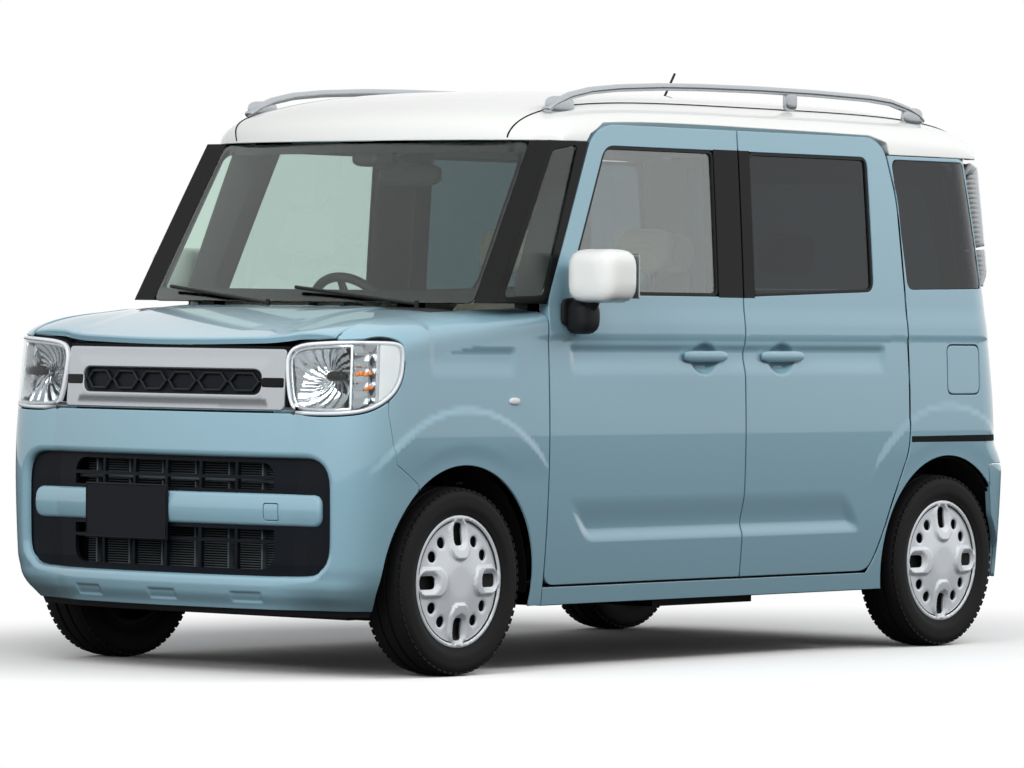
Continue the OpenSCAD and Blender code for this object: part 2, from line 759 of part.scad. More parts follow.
module frame_outline() {
 intersection() {
  difference() {
   offset(delta = frame_lap) union() { front_door_outline(); slide_door_outline(); }
   offset(delta = -frame_lap) front_door_outline();
   offset(delta = -frame_lap) slide_door_outline();
  }
  translate([slide_r - lap, sill_z]) square([axle_f - pillar_back - slide_r + lap, frame_top_z - sill_z]);
 }
}
module tail_seam_region(g) {
 h = tail_bumper_z;
 o = body_l/2 + axle_r;
 polygon(concat([for (s = tail_seam_shares) [tail_x + s[0]*o + g, s[1]*h + g]], [[tail_x - lap, h + g], [tail_x - lap, 0], [tail_x + tail_seam_shares[0][0]*o + g, 0]]));
}
module tail_lamp_shell(g, d0, d1, e) {
 panel(steps(lamp_in_share - e, lamp_out_share + e, 6), steps(belt_z + lap - g - e, eave_z - panel_gap + g, 6),function(s, z) tail_skin(s, z), d0, d1);
}
module fuel_outline(g) {
 translate([axle_r - fuel_back, fuel_z]) rounded(window_r) square([fuel_w + g + g, fuel_h + g + g],center = true);
}
// Steps of the rear side panels ahead of the corner, in shares of it
quarter_shares = [2.7, 3.5, 4.4, 5.3];
module body_side() {
 difference() {
  union() {
   panel(concat(steps(lamp_in_share, 2, 7), quarter_shares), steps(sill_z, eave_z - seam, 13),function(s, z) tail_skin(s, z), 0, quarter_t);
   side_wall(axle_r + arch_r - lap, door_f + panel_gap - seam, sill_z, door_bottom_z - panel_gap, 0, quarter_t);
  }
  arch(axle_r, arch_r);
  across(0, far) offset(delta = panel_gap) slide_door_outline();
  across(0, far) quarter_window();
  across(0, far) tail_seam_region(seam);
  tail_lamp_shell(seam, -tail_lamp_proud - tail_lamp_proud, quarter_t + leaf_t, 0.006);
 }
 difference() {
  union() {
   side_wall(axle_r, door_f + panel_gap - seam, sill_z, door_bottom_z - panel_gap, quarter_t - lap/2, sill_w);
   intersection() {
    side_wall(slide_r - lap, axle_f, sill_z, door_top_z, door_t + panel_gap, door_t + panel_gap + frame_t);
    across(0, far) frame_outline();
   }
  }
  arch(axle_r, liner_r + liner_t + seat_gap);
  arch(axle_f, liner_r + liner_t + seat_gap);
 }
 intersection() {
  side_wall(door_f - pillar_l, nose_x, pillar_z, eave_z, 0, pillar_d);
  across(0, far) difference() {
   pillar_outline();
   pillar_window();
   offset(delta = panel_gap) front_door_outline();
  }
 }
 hinge_axis(hinge_low_z) door_bracket();
 hinge_axis(hinge_high_z) door_bracket();
}
module fuel_axis() {
 translate([axle_r - fuel_back + fuel_w/2 + fuel_lead, side_half(fuel_z) - fuel_axis_d, fuel_z]) children();
}
// Distance of the fuel lid's axis ahead of the lid
fuel_lead = 18;
// Gap round the fuel lid
fuel_gap = 8;
// Depth of the fuel lid's axis
fuel_axis_d = 11;
// How far the fuel lid's leaf reaches in before it turns
fuel_reach = 16;
module body_sides() {
 color("PowderBlue") {
  difference() {
   body_side();
   intersection() {
    side_wall(axle_r - fuel_back - fuel_w, axle_r - fuel_back + fuel_w, fuel_z - fuel_h, fuel_z + fuel_h, -lap, fuel_d);
    across(0, far) fuel_outline(fuel_gap);
   }
   fuel_axis() slab(-barrel_r - panel_gap, barrel_r + seam, fuel_axis_d - fuel_d, barrel_r + seam, -barrel_h, barrel_h);
  }
  fuel_axis() cylinder(h = barrel_h + barrel_h + leaf_t, r = pin_r,center = true);
  mirror([0, 1, 0]) body_side();
 }
}
module fuel_lid() {
 color("PowderBlue") difference() {
  union() {
   intersection() {
    side_wall(axle_r - fuel_back - fuel_w, axle_r - fuel_back + fuel_w, fuel_z - fuel_h, fuel_z + fuel_h, 0, fuel_t);
    across(0, far) fuel_outline(0);
   }
   fuel_axis() cylinder(h = barrel_h, r = barrel_r,center = true);
   fuel_axis() slab(-leaf_t/2, leaf_t/2, -fuel_reach, 0, -barrel_h/2, barrel_h/2);
   fuel_axis() slab(-fuel_lead - lap/2, leaf_t/2, -fuel_reach - leaf_t, -fuel_reach, -barrel_h/2, barrel_h/2);
   fuel_axis() slab(-fuel_lead - lap/2, -fuel_lead - lap/2 + leaf_t, -fuel_reach - leaf_t/2, fuel_axis_d - fuel_t/2, -barrel_h/2, barrel_h/2);
  }
  fuel_axis() cylinder(h = barrel_h + barrel_h, r = pin_r + run_gap,center = true);
 }
}
module roof_shell() {
 shell(roof_ps, roof_qs,function(p, q) roof_skin(p, q, 0),function(p, q) roof_skin(p, q, roof_t));
}
module gate_axis() {
 translate([tail_at(window_top_z) + hinge_depth, 0, window_top_z + hinge_lead]) children();
}
module roof_panel() {
 color("Ivory") {
  difference() {
   roof_shell();
   for (side = [0, 1]) mirror([0, side, 0]) {
    across(side_half(door_top_z) - door_t - panel_gap, far) offset(delta = panel_gap) union() { front_door_outline(); slide_door_outline(); }
    gate_axis() slab(-hinge_depth + pocket_skin, pocket_d, lid_hinge_y - pocket_w/2, lid_hinge_y + pocket_w/2, -lap, pocket_h - hinge_lead);
   }
  }
  for (side = [0, 1]) mirror([0, side, 0]) gate_axis() translate([0, lid_hinge_y, 0]) rotate([90, 0, 0]) cylinder(h = pocket_w + leaf_t, r = pin_r,center = true);
 }
}
module front_structure() {
 axis_x = bonnet_r - hinge_lead;
 axis_z = hood_z(bonnet_r, lid_hinge_y) - hinge_depth;
 gap = barrel_h/2 + seat_gap;
 color("SlateGray") difference() {
  union() {
   slab(bulkhead_x - bulkhead_t, bulkhead_x, -bulkhead_half, bulkhead_half, floor_z, bulkhead_top_z);
   slab(bulkhead_x - bulkhead_t/2, cowl_beam_x, -bulkhead_half, bulkhead_half, cowl_beam_z, bulkhead_top_z);
   slab(crash_back_x - lap/2, crash_front_x, -crash_half, crash_half, crash_low_z, crash_top_z);
   both_sides() {
    slab(bulkhead_x - bulkhead_t/2, rail_end_x, rail_in_y, rail_out_y, rail_low_z, rail_top_z);
    slab(axle_f - tower_half, axle_f + tower_half, rail_out_y - bulkhead_t, rail_out_y, rail_low_z, tower_top_z);
    slab(axle_f - tower_half, axle_f + tower_half, rail_out_y - bulkhead_t, tower_out_y, tower_z, tower_top_z);
    for (side = [-1, 1]) translate([0, lid_hinge_y + side*(gap + leaf_t/2), 0])
     slab(cowl_beam_x - lap, axis_x + barrel_r, -leaf_t/2, leaf_t/2, bulkhead_top_z - bulkhead_t, axis_z + barrel_r);
    translate([axis_x, lid_hinge_y, axis_z]) rotate([90, 0, 0]) cylinder(h = gap + gap + leaf_t, r = pin_r,center = true);
   }
   translate([crash_back_x, tow_y, tow_z]) rotate([0, 90, 0]) cylinder(h = tow_front_x - crash_back_x, r = tow_boss_r);
  }
  translate([crash_back_x, tow_y, tow_z]) rotate([0, 90, 0]) cylinder(h = far, r = tow_r);
  both_sides() translate([axle_f, liner_in_y - leaf_t, hub_z]) rotate([-90, 0, 0]) cylinder(h = far, r = liner_r + liner_t + seat_gap);
  both_sides() intersection() {
   translate([axle_f, king_low_y, 0]) cylinder(h = wheel_room_z, r = wheel_room_r);
   slab(0, nose_x, rail_out_y + leaf_t, far, 0, wheel_room_z);
  }
 }
}
module engine_block() {
 color("Gray") {
  slab(engine_back_x, engine_front_x, -engine_half, engine_half, engine_low_z, engine_top_z);
  both_sides() slab(axle_f - tab_half, axle_f + tab_half, engine_half - lap, rail_in_y - seat_gap, rail_low_z, rail_top_z);
 }
}
module radiator() {
 color("DarkGray") slab(radiator_back_x, radiator_front_x, -rail_in_y + seat_gap, rail_in_y - seat_gap, radiator_low_z, radiator_top_z);
}
function king_tilt() = atan((king_low_y - king_top_y)/(king_top_z - king_low_z));
module king_axis() {
 translate([axle_f, king_low_y, king_low_z]) rotate([king_tilt(), 0, 0]) children();
}
module front_suspension() {
 color("DarkSlateGray") difference() {
  union() {
   slab(axle_f - beam_half_l, axle_f + beam_half_l, -beam_half, beam_half, king_low_z - arm_t/2, upright_low_z);
   both_sides() {
    slab(axle_f - arm_half, axle_f + arm_half, beam_half - lap, king_low_y + arm_half, king_low_z - arm_t/2, king_low_z + arm_t/2);
    slab(axle_f - tab_half, axle_f + tab_half, rail_in_y + seat_gap, beam_half, upright_low_z - arm_t, rail_low_z - seat_gap);
   }
  }
  both_sides() king_axis() cylinder(h = lap + lap, r = king_r + run_gap,center = true);
 }
}
module knuckle(y) {
 color("SlateGray") {
  translate([axle_f, upright_out_y - leaf_t, hub_z]) rotate([-90, 0, 0]) cylinder(h = y + stub_end - upright_out_y + leaf_t, r = stub_r - run_gap);
  slab(axle_f - knuckle_half, axle_f + knuckle_half, upright_in_y, upright_out_y, upright_low_z, upright_top_z);
  slab(axle_f - knuckle_half, axle_f + knuckle_half, damper_low_y, upright_out_y, bracket_low_z, upright_top_z);
  translate([axle_f, damper_low_y, bracket_low_z]) rotate([atan((damper_low_y - king_top_y)/(king_top_z - bracket_low_z)), 0, 0]) {
   cylinder(h = king_top_z - bracket_low_z, r = damper_r);
   translate([0, 0, spring_low_z - bracket_low_z]) cylinder(h = spring_top_z - spring_low_z, r = spring_r);
  }
  king_axis() translate([0, 0, -arm_t/2]) cylinder(h = upright_low_z - king_low_z + arm_t, r = king_r);
 }
}
// Place of the stub axles' outer ends from a wheel's middle
stub_end = 58;
module knuckle_left() { knuckle(track_front/2); }
module knuckle_right() { mirror([0, 1, 0]) knuckle(track_front/2); }
// Faces of the rear trailing arms
trail_in = 182;
trail_in_y = track_rear/2 - trail_in;
trail_w = 48;
trail_out_y = trail_in_y + trail_w;
// Half height of the trailing arms
trail_half = 30;
// Length of the trailing arms ahead of the rear axle
trail_l = 336;
// Distance of the rear cross beam ahead of the axle, and its radius
twist_x = 150;
twist_r = 40;
module rear_axle() {
 color("DarkSlateGray") {
  translate([axle_r + twist_x, 0, hub_z]) rotate([90, 0, 0]) cylinder(h = trail_in_y + trail_in_y + lap, r = twist_r,center = true);
  both_sides() {
   slab(axle_r - trail_half - trail_half, axle_r + trail_l, trail_in_y, trail_out_y, hub_z - trail_half, hub_z + trail_half);
   slab(axle_r + trail_l - trail_half, axle_r + trail_l, trail_in_y, trail_out_y, hub_z, rear_floor_z - seat_gap);
   translate([axle_r, trail_in_y, hub_z]) rotate([-90, 0, 0]) cylinder(h = track_rear/2 + stub_end - trail_in_y, r = stub_r - run_gap);
  }
 }
}
// Exhaust pipe's radius, height and distance to the right
pipe_r = 22;
pipe_z = 172;
pipe_y = 210;
// Exhaust pipe's ends
pipe_back = 317.5;
pipe_front_x = axle_f - pipe_back;
pipe_end = 42.5;
pipe_rear_x = tail_x + pipe_end;
// Silencer's radius, height and length
silencer_r = 62;
silencer_z = 214;
silencer_l = 190;
module exhaust() {
 color("Silver") translate([0, -pipe_y, 0]) {
  translate([pipe_rear_x, 0, pipe_z]) rotate([0, 90, 0]) cylinder(h = pipe_front_x - pipe_rear_x, r = pipe_r);
  translate([tail_x + tail_corner/2 - lap, 0, silencer_z]) rotate([0, 90, 0]) cylinder(h = silencer_l, r = silencer_r);
  slab(-tab_half, tab_half, -leaf_t, leaf_t, pipe_z, floor_z - seat_gap);
  slab(pipe_front_x - tab_l, pipe_front_x - tab_half - tab_half, -leaf_t, leaf_t, pipe_z, floor_z - seat_gap);
 }
}
// Fuel tank's ends, sides and lower side
tank_lead = 1102.5;
tank_front_x = axle_r + tank_lead;
tank_back = 582.5;
tank_rear_x = axle_r + tank_back;
tank_half = 160;
tank_y = 220;
tank_low_z = 150;
module fuel_tank() {
 color("DimGray") slab(tank_rear_x, tank_front_x, tank_y - tank_half, tank_y + tank_half, tank_low_z, floor_z - seat_gap);
}
module liner(x, y0, y1) {
 difference() {
  translate([x, y1, hub_z]) rotate([90, 0, 0]) difference() {
   cylinder(h = y1 - y0, r = liner_r + liner_t);
   translate([0, 0, -lap]) cylinder(h = far, r = liner_r);
  }
  slab(x - far, x + far, 0, far, -far, liner_low_z);
 }
}
// Plan inside the bumpers' walls at the liners' lower ends
module inner_plan() {
 depth = bumper_t + leaf_t;
 fore = [for (s = steps(-2.1, 2.1, 40)) under(function(u, v) front_skin(u, v), s, liner_low_z, depth)];
 aft = [for (s = steps(2.1, -2.1, 40)) under(function(u, v) tail_skin(u, v), s, liner_low_z, depth)];
 linear_extrude(far) polygon([for (p = concat(fore, aft)) [p[0], p[1]]]);
}
module wheel_liners() {
 color("Black") intersection() {
  inner_plan();
  liner_rings();
 }
}
module liner_rings() {
 both_sides() {
  difference() {
   union() {
    liner(axle_f, liner_in_y, liner_out_y);
    slab(axle_f + tab_x - tab_half, axle_f + tab_x + tab_half, rail_out_y + seat_gap, liner_in_y + lap/2, hub_z + liner_r - tab_t - tab_t, hub_z + liner_r - tab_t);
   }
   translate([axle_f, liner_out_y + lap, hub_z]) rotate([90, 0, 0]) cylinder(h = liner_out_y + lap - liner_in_y, r = liner_r);
  }
  liner(axle_r, rear_floor_half + seam, side_half(sill_z) - quarter_t - leaf_t);
 }
}

// Outer panels and lamps

module wing_seam_region(g) {
 polygon(concat([for (s = wing_seam_shares) [nose_x - s[0]*front_overhang + g, s[1]*bumper_top_z]],
  [[nose_x - wing_seam_shares[2][0]*front_overhang + g, far], [0, far], [0, wing_seam_shares[0][1]*bumper_top_z]]));
}
module lamp_holes(g) {
 both_sides() lengthways(0, far) offset(delta = g) lamp_outline();
}
module box_outline(half, z, h, r) {
 translate([-half, z]) rounded(r) square([half + half, h]);
}
module front_bumper() {
 color("PowderBlue") {
  difference() {
   panel(bumper_ss, bumper_zs,function(s, z) front_skin(s, z), 0, bumper_t);
   arch(axle_f, arch_r);
   across(-far, far) wing_seam_region(0);
   lengthways(0, far) box_outline(intake_half, intake_z, intake_h, intake_r);
   lamp_holes(seam);
  }
  difference() {
   intersection() {
    panel(bumper_ss, [chin_z, nose_lean_z],function(s, z) front_skin(s, z), bar_back, insert_back - seat_gap);
    lengthways(0, far) box_outline(bar_half, bar_z, bar_h, bar_r);
   }
   translate([0, tow_y, tow_z]) rotate([0, 90, 0]) cylinder(h = far, r = tow_hole_r);
  }
 }
}
// Rounding of the bumper bar's ends
bar_r = 44;
// How far the bumper bar stands behind the bumper's skin
bar_back = 10;
// Share of the core between two upright ribs
rib_share = 1/3;
module grille_inserts() {
 color("Black") {
  difference() {
   intersection() {
    panel(bumper_ss, bumper_zs,function(s, z) front_skin(s, z), insert_back, insert_back + insert_t);
    lengthways(0, far) box_outline(intake_half + tab_t, intake_z - tab_t, intake_h + tab_t + tab_t, intake_r);
   }
   difference() {
    lengthways(0, far) box_outline(core_half, intake_z + tab_t, intake_h - tab_t - tab_t, bar_r);
    for (k = [-2:2]) slab(0, far, k*core_half*rib_share - rib_w/2, k*core_half*rib_share + rib_w/2, 0, far);
    for (z = [bar_z - lap, bar_z, bar_z + bar_h/2, bar_z + bar_h, bar_z + bar_h + lap]) slab(0, far, -far, far, z - rib_w/2, z + rib_w/2);
   }
   translate([0, tow_y, tow_z]) rotate([0, 90, 0]) cylinder(h = far, r = tow_hole_r);
  }
  intersection() {
   panel(steps(-0.85, 0.85, 12), [slot_z - lap, slot_z + slot_h + lap],function(s, z) front_skin(s, z), grille_t + seat_gap, grille_t + insert_t);
   lengthways(0, far) box_outline(slot_half + tab_t, slot_z - tab_t, slot_h + tab_t + tab_t, bar_r);
  }
 }
}
module number_plate() {
 color("DimGray") slab(nose_x - bar_back + seat_gap, nose_x - bar_back + plate_t, -plate_off - plate_w/2, -plate_off + plate_w/2, plate_z - plate_h/2, plate_z + plate_h/2);
}
module grille_panel() {
 half = lamp_y - lamp_half - seam;
 color("Silver") difference() {
  intersection() {
   panel(steps(-1, 1, 14), steps(bumper_top_z - lap, grille_top_z + lap, 4),function(s, z) front_skin(s, z), 0, grille_t);
   lengthways(0, far) box_outline(half, bumper_top_z + seam, grille_top_z - bumper_top_z, tab_t);
  }
  lengthways(0, far) box_outline(slot_half, slot_z, slot_h, slot_h/2 - 1);
 }
}
module headlamps() {
 color("WhiteSmoke") both_sides() intersection() {
  panel(concat([0.8], steps(0.9, 2.05, 12)), steps(lamp_z - lamp_half_h - lap, lamp_z + lamp_half_h + lap, 6),function(s, z) front_skin(s, z), 0, lamp_d);
  lengthways(0, far) lamp_outline();
 }
}
// Share of the overhang the wing stops behind the nose
wing_end_share = 0.25;
module front_wings() {
 color("PowderBlue") both_sides() difference() {
  panel(concat([door_f + panel_gap], steps(door_f + panel_gap + lap, nose_x - front_overhang*wing_end_share, 14)), concat(steps(0, 1, 7), steps(1.1, 1.62, 6)),function(x, v) wing_skin(x, v), 0, wing_t);
  arch(axle_f, arch_r);
  lamp_holes(seam);
  difference() {
   slab(0, far, -far, far, -far, bumper_top_z + lap);
   across(-far, far) wing_seam_region(-seam);
   slab(0, axle_f, -far, far, 0, far);
  }
  slab(0, far, -far, bonnet_half + panel_gap, 0, far);
  slab(0, axle_f - pillar_back + seam, -far, side_half(pillar_z) - door_t, 0, far);
  slab(0, far, -far, far, -far, sill_z);
 }
}
module nose_plan() {
 polygon(concat([for (s = steps(-2, 2, 40)) [front_skin(s, bonnet_front_z)[0], front_skin(s, bonnet_front_z)[1]]], [[0, half_w], [0, -half_w]]));
}
module bonnet() {
 axis_x = bonnet_r - hinge_lead;
 axis_z = hood_z(bonnet_r, lid_hinge_y) - hinge_depth;
 color("PowderBlue") {
  difference() {
   intersection() {
    shell(concat(steps(bonnet_r, nose_x - lap - lap, 9), [nose_x - nose_lean]), steps(-1, 1, 18),function(x, k) hood_skin(x, k),function(x, k) hood_skin(x, k) - [0, 0, bonnet_t]);
    translate([0, 0, bonnet_front_z]) linear_extrude(far) nose_plan();
    slab(0, far, -bonnet_half, bonnet_half, bonnet_front_z, far);
   }
   lamp_holes(panel_gap);
  }
  both_sides() difference() {
   translate([axis_x, lid_hinge_y, axis_z]) {
    rotate([90, 0, 0]) cylinder(h = barrel_h, r = barrel_r,center = true);
    slab(-leaf_t/2, leaf_t/2, -barrel_h/2, barrel_h/2, -leaf_reach, 0);
    slab(-leaf_t/2, hinge_lead + lap, -barrel_h/2, barrel_h/2, -leaf_reach - leaf_t, -leaf_reach);
    slab(hinge_lead + lap - leaf_t - leaf_t, hinge_lead + lap, -barrel_h/2, barrel_h/2, -leaf_reach - leaf_t, hinge_depth - bonnet_t + leaf_t);
   }
   translate([axis_x, lid_hinge_y, axis_z]) rotate([90, 0, 0]) cylinder(h = barrel_h + barrel_h, r = pin_r + run_gap,center = true);
  }
 }
}
module windscreen() {
 color("LightCyan", 0.5) panel(steps(-1, 1, 14), steps(0, 1, 5),function(k, v) screen_skin(k, v), 0, glass_t);
}
// Distance of the wipers' posts from the middle
wiper_left_y = 470;
wiper_right_y = -90;
// Length of a wiper and its radius
wiper_l = 470;
wiper_r = 7;
// Share of the blade's radius for its arm
arm_share = 0.8;
// Distance of the wipers ahead of the windscreen
wiper_gap = 22;
module wiper_post(y, r) {
 translate([screen_skin(y/(side_half(screen_z) - pillar_d), 0)[0] + wiper_gap, y, screen_z]) cylinder(h = lap + lap, r = r,center = true);
}
module cowl_panel() {
 color("Black") difference() {
  shell(steps(door_f + pillar_l/2 + lap/2, bonnet_r - panel_gap, 3), steps(-1, 1, 12),function(x, k) hood_skin(x, k) - [0, 0, leaf_t/2],function(x, k) hood_skin(x, k) - [0, 0, leaf_t + leaf_t]);
  both_sides() slab(0, far, bonnet_half + panel_gap - seam, far, 0, far);
  for (y = [wiper_left_y, wiper_right_y]) wiper_post(y, wiper_r + seat_gap);
 }
}
module wipers() {
 color("Black") for (y = [wiper_left_y, wiper_right_y]) {
  a = [screen_skin(y/(side_half(screen_z) - pillar_d), 0)[0] + wiper_gap, y, screen_z + wiper_r/2];
  b = screen_skin((y - wiper_l)/(side_half(screen_z) - pillar_d), 0.09) + [wiper_gap, 0, 0];
  d = b - a;
  translate([a[0], y, screen_z - lap/2]) cylinder(h = lap/2 + wiper_r + wiper_r, r = wiper_r);
  translate(a) rotate([0, acos(d[2]/norm(d)), atan2(d[1], d[0])]) cylinder(h = norm(d), r = wiper_r*arm_share);
 }
}

// Doors, glass and mirrors

module handle_cup(x) {
 for (side = [-1, 1]) translate([x + side*cup_span/2, side_half(handle_z) - cup_d, handle_z]) rotate([-90, 0, 0]) cylinder(h = far, r = cup_r);
}
module handle_bar(x) {
 translate([x - handle_l/2, side_half(handle_z) - cup_d + handle_gap, handle_z - handle_h/2]) cube([handle_l, handle_t, handle_h]);
}
module handle_band(x0, x1) {
 lengthways(x0, x1) polygon([[side_half(band_low_z), band_low_z], [side_half(band_mid_z) - band_d, band_mid_z], [side_half(band_top_z), band_top_z],
  [half_w + lap, band_top_z], [half_w + lap, band_low_z]]);
}
module front_door() {
 color("PowderBlue") {
  difference() {
   intersection() {
    side_wall(door_m - lap, door_f + lap, door_bottom_z, door_top_z, 0, door_t);
    across(0, far) front_door_outline();
   }
   across(0, far) front_window();
   handle_band(door_m - lap, band_front_x);
   handle_cup(handle_front_x);
  }
  handle_bar(handle_front_x);
  hinge_axis(hinge_low_z) door_leaf();
  hinge_axis(hinge_high_z) door_leaf();
 }
}
module front_door_left() { front_door(); }
module front_door_right() { mirror([0, 1, 0]) front_door(); }
module side_pane(x0, x1) {
 intersection() {
  side_wall(x0, x1, pillar_z, eave_z, glass_depth, glass_depth + glass_t);
  across(0, far) offset(delta = -seat_gap) children();
 }
}
module door_glass_left() { color("LightCyan", 0.5) side_pane(door_m, door_f) front_window(); }
module door_glass_right() { mirror([0, 1, 0]) door_glass_left(); }
module sliding_door() {
 color("PowderBlue") {
  difference() {
   intersection() {
    side_wall(slide_r - lap, slide_f + lap, door_bottom_z, door_top_z, 0, door_t);
    across(0, far) slide_door_outline();
   }
   across(0, far) slide_window();
   handle_band(band_rear_x, slide_f + lap);
   handle_cup(handle_rear_x);
  }
  handle_bar(handle_rear_x);
  for (z = [hinge_low_z, handle_z]) intersection() {
   side_wall(slide_r, slide_r + lap, z, z + lap, door_t - leaf_t, door_t + panel_gap - seat_gap);
   slab(slide_r + leaf_t + leaf_t, slide_r + lap - leaf_t, 0, far, z, z + lap);
  }
 }
}
// Steps of the rear side panes round the corner, in shares of it
pane_shares = [1.4, 1.52, 1.64, 1.76, 1.88, 2, 2.6, 3.3, 4];
module sliding_door_left() { sliding_door(); }
module sliding_door_right() { mirror([0, 1, 0]) sliding_door(); }
module side_glass() {
 color("DarkSlateGray", 0.7) both_sides() {
  side_pane(slide_r, slide_f) slide_window();
  side_pane(door_f - pillar_l, nose_x) pillar_window();
  intersection() {
   panel(pane_shares, steps(belt_z - lap/2, eave_z - seam, 6),function(s, z) tail_skin(s, z), glass_depth - leaf_t, glass_depth - leaf_t + glass_t);
   across(0, far) offset(delta = -seat_gap) quarter_window();
  }
 }
}
// Mirror housing's width, height, depth and rounding
mirror_w = 176;
mirror_h = 164;
mirror_d = 130;
mirror_r = 44;
// Place of the mirror housing's middle
mirror_back = 113.5;
mirror_x = door_f - mirror_back;
mirror_y = 850;
mirror_z = 1182;
// Mirror foot's lower side, length and thickness
mirror_foot_z = 1030;
mirror_foot_l = 92;
mirror_foot_y = 800;
module mirror_piece() {
 color("Ivory") {
  intersection() {
   lengthways(mirror_x - mirror_d/2, mirror_x + mirror_d/2) translate([mirror_y - mirror_w/2, mirror_z - mirror_h/2]) rounded(mirror_r) square([mirror_w, mirror_h]);
   translate([mirror_x - mirror_d/2, mirror_y - mirror_w/2, 0]) linear_extrude(far) rounded(mirror_r) square([mirror_d, mirror_w]);
  }
  difference() {
   across(side_half(belt_z) - lap, mirror_foot_y) polygon([[mirror_x - mirror_foot_l/2, mirror_foot_z], [mirror_x + mirror_foot_l/2, mirror_foot_z],
    [mirror_x + mirror_foot_l/2, mirror_z - mirror_h/2 + mirror_r], [mirror_x - mirror_foot_l/2, mirror_z - mirror_h/2 + mirror_r]]);
   side_wall(door_m, nose_x, door_bottom_z, door_top_z, -seat_gap, door_t + lap);
  }
 }
}
module mirror_left() { mirror_piece(); }
module mirror_right() { mirror([0, 1, 0]) mirror_piece(); }
// Half width, lower and upper edge of the tailgate's window
gate_window_half = 486;
gate_window_z = 1160;
gate_window_top_z = 1516;
module tailgate() {
 color("PowderBlue") {
  difference() {
   panel(steps(-gate_share, gate_share, 18), steps(tailgate_z, window_top_z, 10),function(s, z) tail_skin(s, z), 0, tailgate_t);
   lengthways(-far, 0) box_outline(gate_window_half, gate_window_z, gate_window_top_z - gate_window_z, window_r);
  }
  both_sides() gate_axis() translate([0, lid_hinge_y, 0]) difference() {
   union() {
    rotate([90, 0, 0]) cylinder(h = barrel_h, r = barrel_r,center = true);
    slab(0, leaf_reach, -barrel_h/2, barrel_h/2, -leaf_t/2, leaf_t/2);
    slab(leaf_reach - leaf_t, leaf_reach, -barrel_h/2, barrel_h/2, -hinge_lead - lap/2, leaf_t/2);
   }
   rotate([90, 0, 0]) cylinder(h = barrel_h + barrel_h, r = pin_r + run_gap,center = true);
  }
 }
}
module tailgate_glass() {
 color("DarkSlateGray", 0.7) intersection() {
  panel(steps(-1.05, 1.05, 14), steps(gate_window_z - lap, gate_window_top_z + lap, 5),function(s, z) tail_skin(s, z), glass_depth, glass_depth + glass_t);
  lengthways(-far, 0) offset(delta = -seat_gap) box_outline(gate_window_half, gate_window_z, gate_window_top_z - gate_window_z, window_r);
 }
}
module tail_lamps() {
 color("Crimson") both_sides() tail_lamp_shell(0, -tail_lamp_proud, tail_lamp_d, 0);
}
// Height of the rear bumper's lower edge
tail_low_z = 214;
module rear_bumper() {
 color("PowderBlue") intersection() {
  difference() {
   panel(concat(steps(-2.6, -1, 10), steps(-0.7, 0.7, 4), steps(1, 2.6, 10)), steps(tail_low_z, tail_bumper_z, 4),function(s, z) tail_skin(s, z), 0, bumper_t);
   arch(axle_r, arch_r);
  }
  across(-far, far) tail_seam_region(0);
 }
}
// Shares of a roof rail's length and of its bow over the roof
rail_shares = [[0,0],[0.05,0.42],[0.11,0.68],[0.22,0.87],[0.38,0.97],[0.55,1],[0.72,0.985],[0.86,0.9],[0.95,0.62],[1,0.3]];
// Height from which a roof rail's bow rises
rail_base_z = 1688;
// Length of a rail's feet
rail_foot_l = 150;
module rail_line(g) {
 polygon(concat([for (s = rail_shares) [rail_front_x - s[0]*rail_l, rail_base_z + s[1]*(rail_z - rail_base_z) - g]],
  [[rail_front_x - rail_l, eave_z + lap], [rail_front_x, eave_z + lap]]));
}
module roof_rails() {
 color("Silver") difference() {
  both_sides() across(rail_y - rail_w/2, rail_y + rail_w/2) difference() {
   rail_line(0);
   intersection() {
    rail_line(rail_t);
    union() for (k = [0, 1]) translate([rail_front_x - rail_l + rail_foot_l*(1 + k/2) + k*(rail_l - rail_foot_l)/2, 0]) square([rail_l/2 - rail_foot_l - rail_foot_l + rail_foot_l/2, far]);
   }
  }
  translate([0, 0, seat_gap]) roof_shell();
  translate([-far/2, -far/2, 0]) cube([far, far, eave_z + roof_rise/2]);
 }
}
// Share of an overlap the mast's foot is sunk
mast_sink_share = 0.25;
module antenna() {
 z = roof_z - lap*mast_sink_share;
 color("Black") difference() {
  translate([-antenna_back, 0, z]) {
   cylinder(h = antenna_foot_h, r = antenna_foot_r);
   translate([0, 0, antenna_foot_h/2]) rotate([0, -antenna_lean, 0]) cylinder(h = antenna_l, r = antenna_r);
  }
  translate([0, 0, seat_gap]) roof_shell();
 }
}

// Cabin

// Shares of the dashboard's length and height, front lower corner first
dash_shares = [[1,0.9],[1,1],[0.55,0.98],[0.3,0.93],[0.12,0.82],[0.06,0.6],[0.2,0.4],[0.26,0],[0.64,0],[0.64,0.78]];
// Dashboard's rear end, length, lower edge and height
dash_back = 677.5;
dash_x = axle_f - dash_back;
dash_l = 520;
dash_low_z = 560;
dash_h = 510;
// Half width of the dashboard
dash_half = 590;
module steer_axis() {
 translate([steer_x, -steer_y, steer_z]) rotate([0, 90 + steer_lean, 0]) children();
}
// Radius and length of the steering column
column_r = 16;
column_l = 210;
// Radius and height of the steering wheel's hub
hub_r = 62;
hub_h = 46;
// Share of the hub's height behind the rim
hub_sink_share = 0.25;
